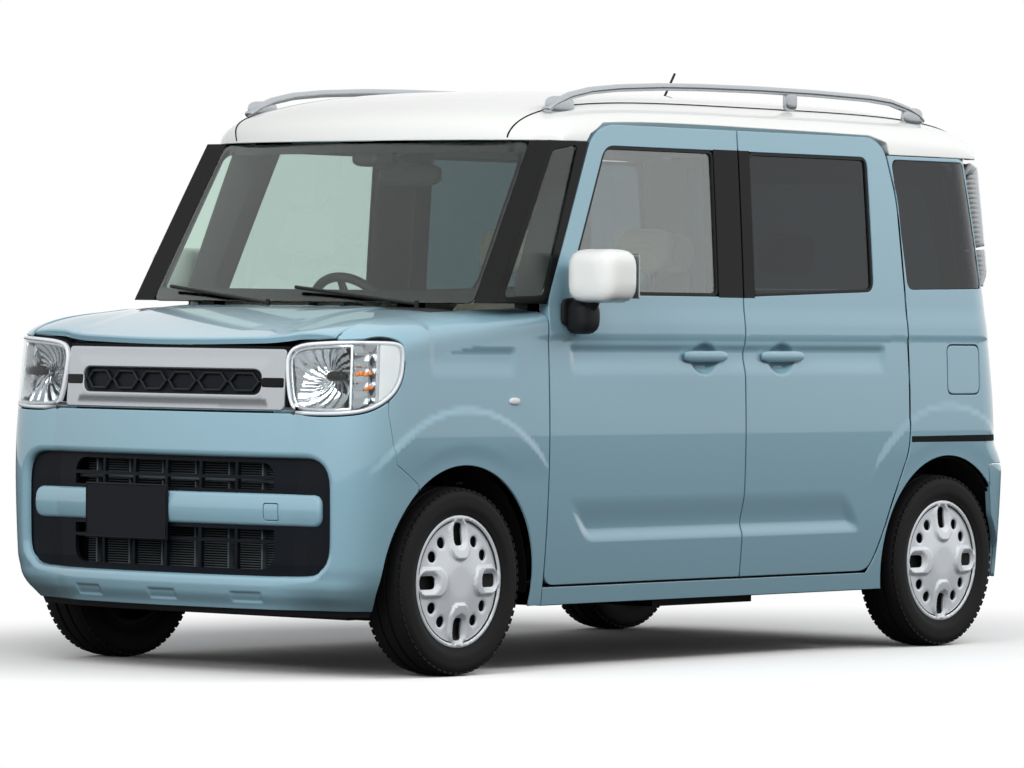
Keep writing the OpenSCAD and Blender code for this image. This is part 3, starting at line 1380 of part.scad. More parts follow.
// Half width of a steering wheel's spoke
spoke_half = 18;
module dashboard() {
 color("DimGray") difference() {
  across(-dash_half, dash_half) polygon([for (s = dash_shares) [dash_x + s[0]*dash_l, dash_low_z + s[1]*dash_h]]);
  slab(bulkhead_x - bulkhead_t - seat_gap, bulkhead_x + far, -far, far, 0, bulkhead_top_z + seat_gap);
  steer_axis() cylinder(h = column_l + seat_gap, r = column_r + run_gap);
  steer_axis() cylinder(h = hub_h + leaf_t, r = hub_r + leaf_t);
 }
}
module steering_wheel() {
 color("Black") steer_axis() {
  rotate_extrude() translate([steer_r - grip_r, 0]) circle(r = grip_r, $fn = 24);
  translate([0, 0, -hub_h*hub_sink_share]) cylinder(h = hub_h, r = hub_r);
  cylinder(h = column_l, r = column_r);
  for (a = [0, 90, 270]) rotate([0, 0, a]) slab(0, steer_r - grip_r, -spoke_half, spoke_half, -leaf_t, leaf_t);
 }
}
// Shares of a seat's side view: cushion's length and whole height
seat_shares = [[1,0.06],[1,0.17],[0.12,0.14],[-0.12,0.9],[-0.2,0.95],[-0.36,0.95],[-0.42,0.9],[-0.16,0.02],[-0.1,0]];
// Headrest's shares in the same frame
rest_shares = [[-0.2,0.985],[-0.22,1.18],[-0.27,1.22],[-0.38,1.22],[-0.42,1.18],[-0.4,0.985]];
// Shares of the posts under a headrest
post_share = -0.29;
post_side_share = 0.25;
post_low_share = 0.9;
post_long_share = 0.12;
// Shares of the legs under a seat
leg_l_share = 0.8;
leg_side_share = 1/3;
leg_share = 0.25;
module seat(x, w, h) {
 z = seat_z - cushion_t;
 rise = cushion_t + backrest_h;
 across(-w/2, w/2) rounded(seat_r) polygon([for (s = seat_shares) [x + s[0]*cushion_l, z + s[1]*rise]]);
 across(-h/2, h/2) rounded(seat_r/2) polygon([for (s = rest_shares) [x + s[0]*cushion_l, z + s[1]*rise]]);
 for (side = [-1, 1]) translate([x + post_share*cushion_l, side*h*post_side_share, z + rise*post_low_share]) cylinder(h = rise*post_long_share, r = leaf_t);
}
module seat_legs(x, w) {
 for (side = [-1, 1]) slab(x, x + cushion_l*leg_l_share, side*w*leg_side_share - leaf_t - leaf_t, side*w*leg_side_share + leaf_t + leaf_t, floor_z + floor_t + seat_gap, seat_z - cushion_t/2);
}
// Rear ends of the front and the rear seats' cushions
front_seat_lead = 96.5;
front_seat_x = door_m + front_seat_lead;
rear_seat_lead = 184.5;
rear_seat_x = slide_r + rear_seat_lead;
// Width of the rear seat
rear_seat_w = 1010;
module front_seats() {
 color("Tan") for (side = [-1, 1]) translate([0, side*seat_y, 0]) {
  seat(front_seat_x, seat_w, headrest_w);
  seat_legs(front_seat_x, seat_w);
 }
}
module rear_seat() {
 color("Tan") {
  seat(rear_seat_x, rear_seat_w, headrest_w);
  translate([cushion_l*leg_share, 0, 0]) seat_legs(rear_seat_x, rear_seat_w);
 }
}

// Wheels

// Shares of a tyre's half width and of its wall's height
tyre_shares = [[-0.78,0],[-0.82,0.19],[-0.97,0.37],[-1,0.57],[-0.93,0.84],[-0.76,0.95],[-0.52,1],[0.52,1],[0.76,0.95],[0.93,0.84],[1,0.57],[0.97,0.37],[0.82,0.19],[0.78,0]];
module tyre() {
 color("Black") rotate([-90, 0, 0]) rotate_extrude() polygon([for (s = tyre_shares) [rim_d/2 + s[1]*(tyre_d - rim_d)/2, s[0]*tyre_w/2]]);
}
// Faces of a rim's barrel, disc and cover, from the wheel's middle outward
barrel_in = -58;
barrel_out = 60;
disc_in = 34;
disc_out = 46;
cover_in = 65;
cover_rim = 73;
cover_out = 80;
// Radius of a wheel's hub
boss_r = 56;
// Places and sizes of the cover's slots and holes
slot_at = 122;
slot_long = 62;
slot_wide = 40;
slot_round = 16;
lug_wall = 9;
lug_rise = 5;
hole_at = 138;
hole_r = 13;
hole_turn = 12;
module slot_shape(g) {
 translate([slot_at, 0]) offset(r = g, $fn = 20) offset(slot_round, $fn = 20) square([slot_long - slot_round - slot_round, slot_wide - slot_round - slot_round],center = true);
}
module wheel() {
 color("Silver") rotate([-90, 0, 0]) difference() {
  union() {
   rotate_extrude() polygon([[rim_d/2 - barrel_t, barrel_in], [rim_d/2 - seat_gap, barrel_in], [rim_d/2 - seat_gap, cover_in + leaf_t/2], [rim_d/2 - barrel_t, cover_in + leaf_t/2]]);
   translate([0, 0, disc_in]) cylinder(h = disc_out - disc_in, r = rim_d/2 - barrel_t/2);
   rotate_extrude() polygon([[0, cover_in], [cover_d/2, cover_in], [cover_d/2, cover_rim - leaf_t/2], [cover_d/2 - leaf_t, cover_rim], [boss_r, cover_out], [0, cover_out]]);
   translate([0, 0, -leaf_t]) cylinder(h = cover_in + leaf_t + leaf_t, r = boss_r);
   for (a = [0:90:270]) rotate([0, 0, a]) translate([0, 0, cover_in]) linear_extrude(cover_out - cover_in + lug_rise) slot_shape(lug_wall);
  }
  translate([0, 0, -far]) cylinder(h = far + stub_end + leaf_t/2, r = stub_r);
  for (a = [0:90:270]) rotate([0, 0, a]) {
   translate([0, 0, cover_in - leaf_t/2]) linear_extrude(far) slot_shape(0);
   for (side = [-1, 1]) rotate([0, 0, 45 + side*hole_turn]) translate([hole_at, 0, cover_in - leaf_t/2]) cylinder(h = far, r = hole_r);
  }
 }
}
module at_wheel(x, y) {
 mirror([0, y < 0 ? 1 : 0, 0]) translate([x, abs(y), hub_z]) children();
}
module tyre_front_left() { at_wheel(axle_f, track_front/2) tyre(); }
module tyre_front_right() { at_wheel(axle_f, -track_front/2) tyre(); }
module tyre_rear_left() { at_wheel(axle_r, track_rear/2) tyre(); }
module tyre_rear_right() { at_wheel(axle_r, -track_rear/2) tyre(); }
module wheel_front_left() { at_wheel(axle_f, track_front/2) wheel(); }
module wheel_front_right() { at_wheel(axle_f, -track_front/2) wheel(); }
module wheel_rear_left() { at_wheel(axle_r, track_rear/2) wheel(); }
module wheel_rear_right() { at_wheel(axle_r, -track_rear/2) wheel(); }

/* [Hidden] */
// Piece to draw, or all
floor_pan();
body_sides();
roof_panel();
front_structure();
engine_block();
radiator();
front_suspension();
rear_axle();
exhaust();
fuel_tank();
wheel_liners();
front_bumper();
grille_inserts();
number_plate();
grille_panel();
headlamps();
front_wings();
bonnet();
windscreen();
cowl_panel();
wipers();
front_door_left();
front_door_right();
door_glass_left();
door_glass_right();
sliding_door_left();
sliding_door_right();
side_glass();
mirror_left();
mirror_right();
tailgate();
tailgate_glass();
tail_lamps();
rear_bumper();
roof_rails();
antenna();
fuel_lid();
dashboard();
steering_wheel();
front_seats();
rear_seat();
knuckle_left();
knuckle_right();
tyre_front_left();
tyre_front_right();
tyre_rear_left();
tyre_rear_right();
wheel_front_left();
wheel_front_right();
wheel_rear_left();
wheel_rear_right();
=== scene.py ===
"""Looks of a small box-shaped kei car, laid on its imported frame."""

import logging
import math
from dataclasses import dataclass, field
from enum import Enum
from typing import Callable, Iterable, Sequence

import bmesh
import bpy
import numpy as np
from mathutils import Matrix, Vector
from mathutils.geometry import delaunay_2d_cdt


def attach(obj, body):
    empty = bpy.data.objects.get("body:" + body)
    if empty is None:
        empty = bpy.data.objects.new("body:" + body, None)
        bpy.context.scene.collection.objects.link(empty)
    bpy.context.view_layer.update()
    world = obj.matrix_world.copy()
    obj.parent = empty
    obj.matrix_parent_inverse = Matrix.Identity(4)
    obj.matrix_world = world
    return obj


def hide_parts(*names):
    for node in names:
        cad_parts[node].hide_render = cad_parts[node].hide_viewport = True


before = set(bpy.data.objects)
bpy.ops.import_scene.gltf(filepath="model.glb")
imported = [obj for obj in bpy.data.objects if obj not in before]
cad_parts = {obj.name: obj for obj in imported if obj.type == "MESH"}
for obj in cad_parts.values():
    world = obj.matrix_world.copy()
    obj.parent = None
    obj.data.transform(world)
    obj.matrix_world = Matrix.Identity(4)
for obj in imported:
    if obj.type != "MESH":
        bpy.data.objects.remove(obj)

LOG = logging.getLogger("kei_car")
MM = 0.001
Array = np.ndarray
SkinMap = Callable[[Array], Array]


class Pattern(Enum):
    """What breaks up a finish at close range."""

    SMOOTH = "smooth"
    GRAIN = "grain"
    WEAVE = "weave"
    PEEL = "peel"


@dataclass(frozen=True)
class Finish:
    """A real material and how it answers light."""

    name: str
    color: str
    slot: str
    roughness: float = 0.5
    metallic: float = 0.0
    coat: float = 0.0
    transmission: float = 0.0
    ior: float = 1.45
    sheen: float = 0.0
    pattern: Pattern = Pattern.GRAIN
    size_mm: float = 2.0
    bump_mm: float = 0.02
    shade: float = 0.9


class Finishes:
    """The finishes of the car and its stage."""

    PAINT = Finish(
        "pale_teal_enamel", "#84A8B7", "paint", 0.32, coat=1.0, pattern=Pattern.PEEL, size_mm=3,
        bump_mm=0.002, shade=0.985
    )
    IVORY = Finish(
        "ivory_enamel", "#E3E5E3", "roof_paint", 0.34, coat=1.0, pattern=Pattern.PEEL, size_mm=3,
        bump_mm=0.002, shade=0.985
    )
    GLOSS = Finish(
        "gloss_black_film", "#0A0B0C", "dark_trim", 0.12, ior=1.26, pattern=Pattern.PEEL, size_mm=4,
        bump_mm=0.001
    )
    PLASTIC = Finish("grained_black_plastic", "#17181A", "dark_trim", 0.55, size_mm=1.2, bump_mm=0.03)
    # Black felt of the real arch liners, seams and backings; the same black also serves as painted shade in
    # the gaps round the headlamps and grille and in the sliding door's rail slot.
    LINER_AND_SHADE = Finish("black_felt_liner_and_painted_shade", "#0B0B0C", "dark_trim", 0.9, size_mm=4, bump_mm=0.2)
    GLASS = Finish(
        "green_clear_glass", "#DCEBE4", "clear_glass", 0.0, transmission=1.0, pattern=Pattern.SMOOTH
    )
    SIDE = Finish(
        "side_window_glass", "#D3E2E0", "clear_glass", 0.0, transmission=1.0, ior=2.1, pattern=Pattern.SMOOTH
    )
    PRIVACY = Finish(
        "dark_privacy_glass", "#3A4D55", "dark_glass", 0.0, transmission=1.0, pattern=Pattern.SMOOTH
    )
    LENS = Finish(
        "clear_lamp_lens", "#FBFDFD", "lamp", 0.02, transmission=1.0, ior=1.3, pattern=Pattern.SMOOTH
    )
    CHROME = Finish("bright_chrome", "#A3A9AD", "lamp", 0.08, metallic=1.0, size_mm=6, bump_mm=0.001)
    SATIN = Finish("satin_silver_plating", "#C3C8CC", "silver", 0.26, metallic=0.9, size_mm=2, bump_mm=0.002)
    AMBER = Finish("amber_lamp_glass", "#E07B1E", "lamp", 0.15, coat=0.5, pattern=Pattern.SMOOTH)
    RED = Finish("red_lamp_glass", "#B3202A", "tail_lamp", 0.12, coat=0.6, pattern=Pattern.SMOOTH)
    MILK = Finish("white_lamp_glass", "#DADEE0", "tail_lamp", 0.12, coat=0.6, pattern=Pattern.SMOOTH)
    RUBBER = Finish("road_tyre_rubber", "#0E0E0F", "tyre", 0.72, size_mm=1.5, bump_mm=0.08)
    COVER = Finish(
        "silver_white_cover_paint", "#E4E9EE", "cover", 0.32, metallic=0.15, coat=0.4, size_mm=2,
        bump_mm=0.002
    )
    CLOTH = Finish(
        "beige_seat_cloth", "#B5AA9C", "cloth", 0.9, sheen=0.3, pattern=Pattern.WEAVE, size_mm=2.4,
        bump_mm=0.3
    )
    DASH = Finish("dark_dash_skin", "#2E2F31", "inner_trim", 0.6, size_mm=1.6, bump_mm=0.06)
    TRIM = Finish("pale_lining_board", "#857F76", "inner_trim", 0.7, size_mm=1.6, bump_mm=0.06)
    CARPET = Finish(
        "dark_floor_carpet", "#2A2A2B", "floor", 0.95, pattern=Pattern.WEAVE, size_mm=5, bump_mm=0.8
    )
    STEEL = Finish("black_chassis_coat", "#1B1C1D", "chassis", 0.55, size_mm=3, bump_mm=0.05)
    CAST = Finish("cast_alloy", "#75787A", "engine", 0.5, metallic=0.7, size_mm=3, bump_mm=0.1)
    FIN = Finish("grey_fin_plate", "#5A6468", "silver", 0.5, metallic=0.4, size_mm=3, bump_mm=0.01)
    INSERT = Finish("dark_blue_grey_plastic", "#0C1016", "dark_trim", 0.5, ior=1.3, size_mm=1.2, bump_mm=0.02)
    PLATE = Finish("dark_blank_plate", "#15171D", "plate", 0.4, ior=1.3, size_mm=3, bump_mm=0.005)


def linear(code: str, share: float = 1.0) -> tuple[float, float, float, float]:
    """Turns an sRGB hex code into linear light.

    Args:
        code: Colour as #RRGGBB.
        share: Factor on the linear value.

    Returns:
        Red, green, blue and alpha.
    """
    values = [int(code[i : i + 2], 16) / 255 for i in (1, 3, 5)]
    light = [v / 12.92 if v <= 0.04045 else ((v + 0.055) / 1.055) ** 2.4 for v in values]
    return (*[v * share for v in light], 1.0)


def add_node(
    tree: bpy.types.NodeTree, kind: str, settings: dict | None = None, inputs: dict | None = None,
    links: dict | None = None
) -> bpy.types.Node:
    """Adds a node with its settings and incoming links.

    Args:
        tree: Node tree.
        kind: Node type.
        settings: Attributes of the node.
        inputs: Values of its sockets.
        links: Socket of this node to the socket that feeds it.

    Returns:
        The node.
    """
    node = tree.nodes.new(kind)
    for key, value in (settings or {}).items():
        setattr(node, key, value)
    for key, value in (inputs or {}).items():
        node.inputs[key].default_value = value
    for key, source in (links or {}).items():
        tree.links.new(source, node.inputs[key])
    return node


_MATERIALS: dict[str, bpy.types.Material] = {}


def material(finish: Finish) -> bpy.types.Material:
    """Builds a finish as a procedural material, once.

    Args:
        finish: The finish.

    Returns:
        The material.
    """
    if finish.name in _MATERIALS:
        return _MATERIALS[finish.name]
    mat = bpy.data.materials.new(finish.name)
    mat.use_nodes = True
    tree = mat.node_tree
    shader = tree.nodes["Principled BSDF"]
    for key, value in {
        "Base Color": linear(finish.color), "Roughness": finish.roughness, "Metallic": finish.metallic,
        "Coat Weight": finish.coat,
        "Coat Roughness": 0.03, "Transmission Weight": finish.transmission, "IOR": finish.ior,
        "Sheen Weight": finish.sheen,
    }.items():
        shader.inputs[key].default_value = value
    if finish.pattern != Pattern.SMOOTH:
        place = add_node(tree, "ShaderNodeTexCoord").outputs["Object"]
        scale = 1 / (finish.size_mm * MM)
        if finish.pattern == Pattern.WEAVE:
            wave = {"bands_direction": "X"}, {"Scale": scale / 6, "Distortion": 1.5, "Detail": 1.0}
            height = add_node(tree, "ShaderNodeTexWave", *wave, {"Vector": place}).outputs["Fac"]
        else:
            height = add_node(
                tree, "ShaderNodeTexNoise", None, {"Scale": scale, "Detail": 2.0}, {"Vector": place}
            ).outputs["Fac"]
        ramp = add_node(tree, "ShaderNodeValToRGB", None, None, {"Fac": height})
        ramp.color_ramp.elements[0].color = linear(finish.color, finish.shade)
        ramp.color_ramp.elements[1].color = linear(finish.color)
        tree.links.new(ramp.outputs["Color"], shader.inputs["Base Color"])
        bump = add_node(
            tree, "ShaderNodeBump", None, {"Strength": 0.6, "Distance": finish.bump_mm * MM},
            {"Height": height}
        )
        tree.links.new(bump.outputs["Normal"], shader.inputs["Normal"])
    _MATERIALS[finish.name] = mat
    return mat


def soft(t: Array | float) -> Array:
    """Eases a share from zero to one.

    Args:
        t: Share, also outside zero to one.

    Returns:
        Eased share.
    """
    t = np.clip(t, 0, 1)
    return t * t * (3 - 2 * t)


def unit(rows: Array) -> Array:
    """Brings vectors to length one.

    Args:
        rows: Vectors, by row.

    Returns:
        Vectors of length one.
    """
    return rows / np.maximum(np.linalg.norm(rows, axis=1, keepdims=True), 1e-9)


def turning(outline: Array) -> int:
    """Tells which way an outline runs.

    Args:
        outline: Points, by row.

    Returns:
        One where it runs to the left, else minus one.
    """
    x, y = outline[:, 0], outline[:, 1]
    return 1 if (x * np.roll(y, -1) - y * np.roll(x, -1)).sum() > 0 else -1


class Skin:
    """The body's skins in millimetres, as in the part's source."""

    HALF_W, NOSE, TAIL, SQUARE, CROWN = 737.5, 1697.5, -1697.5, 3.4, 4.5
    AXLE_F, AXLE_R, HUB_Z, ARCH_R = 1177.5, -1282.5, 278.5, 342.0
    DOOR_F, DOOR_M, SLIDE_F, BONNET_R = 781.5, -186.5, -192.5, 1165.5

    @staticmethod
    def side_half(z: Array) -> Array:
        """Half width of the flat side at a height.

        Args:
            z: Heights.

        Returns:
            Half widths.
        """
        low, high = np.maximum(0, (700 - z) / 505), np.maximum(0, (z - 700) / 945)
        return Skin.HALF_W - 28 * low**2 - 50 * high**1.4

    @staticmethod
    def nose_at(z: Array) -> Array:
        """Place of the nose in the middle.

        Args:
            z: Heights.

        Returns:
            Places along the car.
        """
        high, low = np.maximum(0, (z - 560) / 408), np.maximum(0, (330 - z) / 135)
        return Skin.NOSE - 24 * high**1.5 - 30 * low**2

    @staticmethod
    def tail_at(z: Array) -> Array:
        """Place of the tail in the middle.

        Args:
            z: Heights.

        Returns:
            Places along the car.
        """
        return Skin.TAIL + 125 * np.maximum(0, (z - 750) / 840) ** 1.3

    @staticmethod
    def side_at(x: Array, z: Array) -> Array:
        """Half width with the corners taken off.

        Args:
            x: Places along the car.
            z: Heights.

        Returns:
            Half widths.
        """
        front = np.clip((x - (Skin.nose_at(z) - 345)) / 300, 0, 1)
        rear = np.clip((Skin.tail_at(z) + 222 - x) / 200, 0, 1)
        p = Skin.rear_power(z)
        fore = 1 - (1 - front**Skin.SQUARE) ** (1 / Skin.SQUARE)
        aft = 1 - (1 - rear**p) ** (1 / p)
        return Skin.side_half(z) - 260 * fore - 200 * aft

    @staticmethod
    def rear_power(z: Array) -> Array:
        """Squareness of the rear corners, which are fuller at the bumper.

        Args:
            z: Heights.

        Returns:
            Powers.
        """
        return 2 + 1.4 * soft((670 - z) / 110)

    @staticmethod
    def shoulder_z(x: Array) -> Array:
        """Height at which the wing turns to the bonnet.

        Args:
            x: Places along the car.

        Returns:
            Heights.
        """
        return 1020 - 140 * np.clip((x - Skin.DOOR_F) / (Skin.NOSE - Skin.DOOR_F), 0, 1)

    @staticmethod
    def crown_z(x: Array) -> Array:
        """Height of the bonnet's middle line.

        Args:
            x: Places along the car.

        Returns:
            Heights.
        """
        t = (x - Skin.BONNET_R) / (Skin.NOSE - Skin.BONNET_R)
        return 1086 - 110 * np.where(t > 0, np.maximum(t, 0) ** 1.7, 0.12 * t)

    @staticmethod
    def hood_z(x: Array, y: Array) -> Array:
        """Height of the bonnet's skin.

        Args:
            x: Places along the car.
            y: Places across it.

        Returns:
            Heights.
        """
        sh = Skin.shoulder_z(x)
        k = np.minimum(1, np.abs(y) / Skin.side_at(np.minimum(x, 1622), sh))
        return sh + (Skin.crown_z(x) - sh) * np.maximum(0, 1 - k**Skin.CROWN) ** (1 / Skin.CROWN)

    @staticmethod
    def brow(x: Array, y: Array) -> Array:
        """How far the bonnet and wings stand up over the lamps.

        Args:
            x: Places along the car.
            y: Places across it.

        Returns:
            Heights.
        """
        k = np.abs(y)
        return 21 * soft((k - 340) / 250) * soft((735 - k) / 60) * soft((x - 1250) / 340)

    @staticmethod
    def relief(x: Array, z: Array) -> Array:
        """Pressed shapes of the sides, outward positive.

        Args:
            x: Places along the car.
            z: Heights.

        Returns:
            Offsets.
        """
        out = 4.5 * soft((z - 985) / 22) * soft((1100 - z) / 70) * soft((900 - x) / 200)
        across = soft(np.minimum((z - 879) / 62, (980 - z) / 24))
        out = out - 9 * across * soft((692 - x) / 40) * soft((x + 945) / 40)
        wing = soft(np.minimum((z - 872) / 60, (972 - z) / 24))
        out = out - 6 * wing * soft((x - 934) / 36) * soft((1345 - x) / 36)
        ends = soft((600 + 0.82 * (z - 382) - x) / 55) * soft((x + 830 - 0.7 * (z - 382)) / 60)
        out = out - 13 * soft(np.minimum((522 - z) / 100, (z - 380) / 42)) * ends
        for axle in (Skin.AXLE_F, Skin.AXLE_R):
            r = np.hypot(x - axle, z - Skin.HUB_Z)
            fade = soft((z - 560) / 130) if axle > 0 else 0.6 * soft((z - 520) / 130)
            out = out + 6 * soft((516 - r) / 22) * fade * soft((r - 352) / 60)
        return out

    @staticmethod
    def side(uv: Array) -> Array:
        """The left side from its places along the car and its heights.

        Args:
            uv: Points of the flat pattern.

        Returns:
            Points of the skin.
        """
        x, z = uv[:, 0], uv[:, 1]
        return np.stack([x, Skin.side_at(x, z) + Skin.relief(x, z), z], 1)


@dataclass(frozen=True)
class Wrap:
    """A skin that runs across an end of the car and round its corners."""

    flat: float
    arc: float
    corner_l: float
    corner_w: float
    bow: float
    sign: int

    def power(self, z: Array) -> Array:
        """Squareness of the corner.

        Args:
            z: Heights.

        Returns:
            Powers.
        """
        return Skin.SQUARE + 0 * z if self.sign > 0 else Skin.rear_power(z)

    def end(self, z: Array) -> Array:
        """Place of the end in the middle.

        Args:
            z: Heights.

        Returns:
            Places along the car.
        """
        return Skin.nose_at(z) if self.sign > 0 else Skin.tail_at(z)

    def u_of_s(self, s: Array) -> Array:
        """Turns the skin's own share into a length along it.

        Args:
            s: Shares, one to two round a corner.

        Returns:
            Lengths.
        """
        k = np.abs(s)
        u = self.flat * np.minimum(k, 1) + self.arc * np.clip(k - 1, 0, 1)
        return np.sign(s) * (u + self.corner_l * np.maximum(k - 2, 0))

    def from_y(self, y: float, z: float) -> tuple[float, float]:
        """Pattern point of a point seen from the end.

        Args:
            y: Place across the car.
            z: Height.

        Returns:
            Pattern point.
        """
        flat = float(Skin.side_half(z)) - self.corner_w
        k = abs(y) / flat
        t = min(1.0, max(0.0, (abs(y) - flat) / self.corner_w))
        p = float(self.power(z))
        s = k if k <= 1 else 1 + math.atan2(t, (1 - t**p) ** (1 / p)) / (math.pi / 2)
        return float(self.u_of_s(math.copysign(s, y))), z

    def from_x(self, x: float, z: float) -> tuple[float, float]:
        """Pattern point of a point seen from the left side.

        Args:
            x: Place along the car.
            z: Height.

        Returns:
            Pattern point.
        """
        q = 1 - self.sign * (float(self.end(z)) - self.sign * self.bow - x) / self.corner_l
        t = min(1.0, q)
        p = float(self.power(z))
        s = 2 - q if q < 0 else 1 + math.atan2((1 - t**p) ** (1 / p), t) / (math.pi / 2)
        return float(self.u_of_s(s)), z

    def end_line(self, points: Iterable) -> list[tuple[float, float]]:
        """Pattern points of an outline seen from the end.

        Args:
            points: Points across and up.

        Returns:
            Pattern points.
        """
        return [self.from_y(y, z) for y, z in points]

    def side_line(self, points: Iterable) -> list[tuple[float, float]]:
        """Pattern points of an outline seen from the left side.

        Args:
            points: Points along and up.

        Returns:
            Pattern points.
        """
        return [self.from_x(x, z) for x, z in points]

    def skin(self, out: float | Array = 0.0, relief: bool = False) -> SkinMap:
        """The skin as a map from its flat pattern.

        Args:
            out: Distance in front of the skin.
            relief: Whether the sides' pressed shapes show.

        Returns:
            The map.
        """

        def put(uv: Array) -> Array:
            k, z = np.abs(uv[:, 0]), uv[:, 1]
            s = np.where(k < self.flat, k / self.flat, 1 + np.clip((k - self.flat) / self.arc, 0, 1))
            past = np.maximum(0, k - self.flat - self.arc)
            flat = Skin.side_half(z) - self.corner_w
            a = np.clip(s - 1, 0, 1) * math.pi / 2
            p = self.power(z)
            r = (np.cos(a) ** p + np.sin(a) ** p) ** (-1 / p)
            y = np.where(s <= 1, s * flat, flat + self.corner_w * r * np.sin(a))
            back = self.bow * (np.minimum(y, flat) / flat) ** 2 + self.corner_l * (1 - r * np.cos(a)) + past
            nx, ny = (r * np.cos(a)) ** (p - 1) / self.corner_l, (r * np.sin(a)) ** (p - 1) / self.corner_w
            size = np.hypot(nx, ny)
            nx, ny = nx / size, ny / size
            x = self.end(z) - self.sign * back
            press = Skin.relief(x, z) * ny**4 if relief else 0.0
            return np.stack([x + self.sign * nx * out, np.sign(uv[:, 0]) * (y + ny * out + press), z], 1)

        return put


FRONT = Wrap(477.5, 487.0, 300.0, 260.0, 45.0, 1)
REAR = Wrap(537.5, 314.2, 200.0, 200.0, 22.0, -1)


class Wing:
    """The front wing's pattern: up the side, then over the shoulder."""

    TURN, EASE = 250.0, 1.8

    @staticmethod
    def over(x: float, y: float) -> float:
        """Pattern height of a point over the shoulder.

        Args:
            x: Place along the car.
            y: Place across it.

        Returns:
            Pattern height.
        """
        sh = float(Skin.shoulder_z(x))
        w = float(Skin.side_at(x, sh))
        a = math.acos(min(1.0, (y / w)) ** (Skin.CROWN / 2))
        return sh + Wing.TURN * (a / (math.pi / 2)) ** (1 / Wing.EASE)

    @staticmethod
    def seen(y: float, z: float) -> tuple[float, float]:
        """Pattern point of a point seen from the front.

        Args:
            y: Place across the car.
            z: Height.

        Returns:
            Pattern point.
        """
        low, high = 1250.0, 1690.0
        for _ in range(40):
            x = (low + high) / 2
            wide, t = Wing.beside(x, y, z)
            low, high = (x, high) if wide > y else (low, x)
        return x, float(t)

    @staticmethod
    def beside(x: Array, y: Array, z: Array) -> tuple[Array, Array]:
        """Half width of the wing at a height, and the pattern height there.

        Args:
            x: Places along the car.
            y: Places across it, near the wing.
            z: Heights.

        Returns:
            Half widths and pattern heights.
        """
        sh = Skin.shoulder_z(x)
        a = np.arcsin(np.clip((z - Skin.brow(x, y) - sh) / (Skin.crown_z(x) - sh), 0, 1) ** (Skin.CROWN / 2))
        wide = Skin.side_at(x, np.minimum(z, sh)) * np.cos(a) ** (2 / Skin.CROWN)
        return wide, np.where(z <= sh, z, sh + Wing.TURN * (a / (math.pi / 2)) ** (1 / Wing.EASE))

    @staticmethod
    def skin(uv: Array) -> Array:
        """The left wing from its flat pattern.

        Args:
            uv: Pattern points.

        Returns:
            Points of the skin.
        """
        x, t = uv[:, 0], uv[:, 1]
        sh = Skin.shoulder_z(x)
        low = np.minimum(t, sh)
        a = np.clip((t - sh) / Wing.TURN, 0, 1) ** Wing.EASE * math.pi / 2
        w = Skin.side_at(x, sh)
        y = np.where(
            t <= sh, Skin.side_at(x, low) + Skin.relief(x, low),
            w * np.cos(a) ** (2 / Skin.CROWN) + Skin.relief(x, sh) * np.cos(a)
        )
        top = sh + (Skin.crown_z(x) - sh) * np.sin(a) ** (2 / Skin.CROWN) + Skin.brow(x, y) * soft(a / 0.3)
        return np.stack([x, y, np.where(t <= sh, t, top)], 1)


def spread(points: Sequence, step: float) -> Array:
    """Divides a closed outline into short pieces.

    Args:
        points: Corners.
        step: Longest piece.

    Returns:
        Points of the outline.
    """
    p = np.asarray(points, float)
    out = []
    for a, b in zip(p, np.roll(p, -1, 0)):
        n = max(1, math.ceil(np.linalg.norm(b - a) / step))
        out += [a + (b - a) * i / n for i in range(n)]
    return np.array(out)


def rounded(points: Sequence, r: float, n: int = 6, keep: Iterable[int] = ()) -> list[tuple[float, float]]:
    """Rounds the corners of an outline.

    Args:
        points: Corners.
        r: Length taken off each side of a corner.
        n: Pieces of a corner.
        keep: Numbers of the corners that stay sharp.

    Returns:
        Points of the outline.
    """
    p = np.asarray(points, float)
    out: list[tuple[float, float]] = []
    for i, b in enumerate(p):
        if i in keep:
            out.append(tuple(b))
            continue
        a, c = p[i - 1], p[(i + 1) % len(p)]
        s = b + (a - b) * min(r / np.linalg.norm(a - b), 0.48)
        e = b + (c - b) * min(r / np.linalg.norm(c - b), 0.48)
        out += [tuple((1 - t) ** 2 * s + 2 * t * (1 - t) * b + t * t * e) for t in np.linspace(0, 1, n + 1)]
    return out


def box2(x0: float, x1: float, z0: float, z1: float, r: float = 0.0) -> list[tuple[float, float]]:
    """A rectangle, with round corners if asked.

    Args:
        x0: Low end.
        x1: High end.
        z0: Lower edge.
        z1: Upper edge.
        r: Rounding.

    Returns:
        Points of the outline.
    """
    points = [(x0, z0), (x1, z0), (x1, z1), (x0, z1)]
    return rounded(points, r) if r else points


def inside(poly: Array, pts: Array) -> Array:
    """Finds the points inside an outline.

    Args:
        poly: Outline.
        pts: Points.

    Returns:
        Truth of each point.
    """
    x, y = pts[:, :1], pts[:, 1:]
    a, b = poly, np.roll(poly, -1, 0)
    rise = np.where(b[:, 1] == a[:, 1], 1e-9, b[:, 1] - a[:, 1])
    hit = ((a[:, 1] > y) != (b[:, 1] > y)) & (x < a[:, 0] + (y - a[:, 1]) * (b[:, 0] - a[:, 0]) / rise)
    return hit.sum(1) % 2 == 1


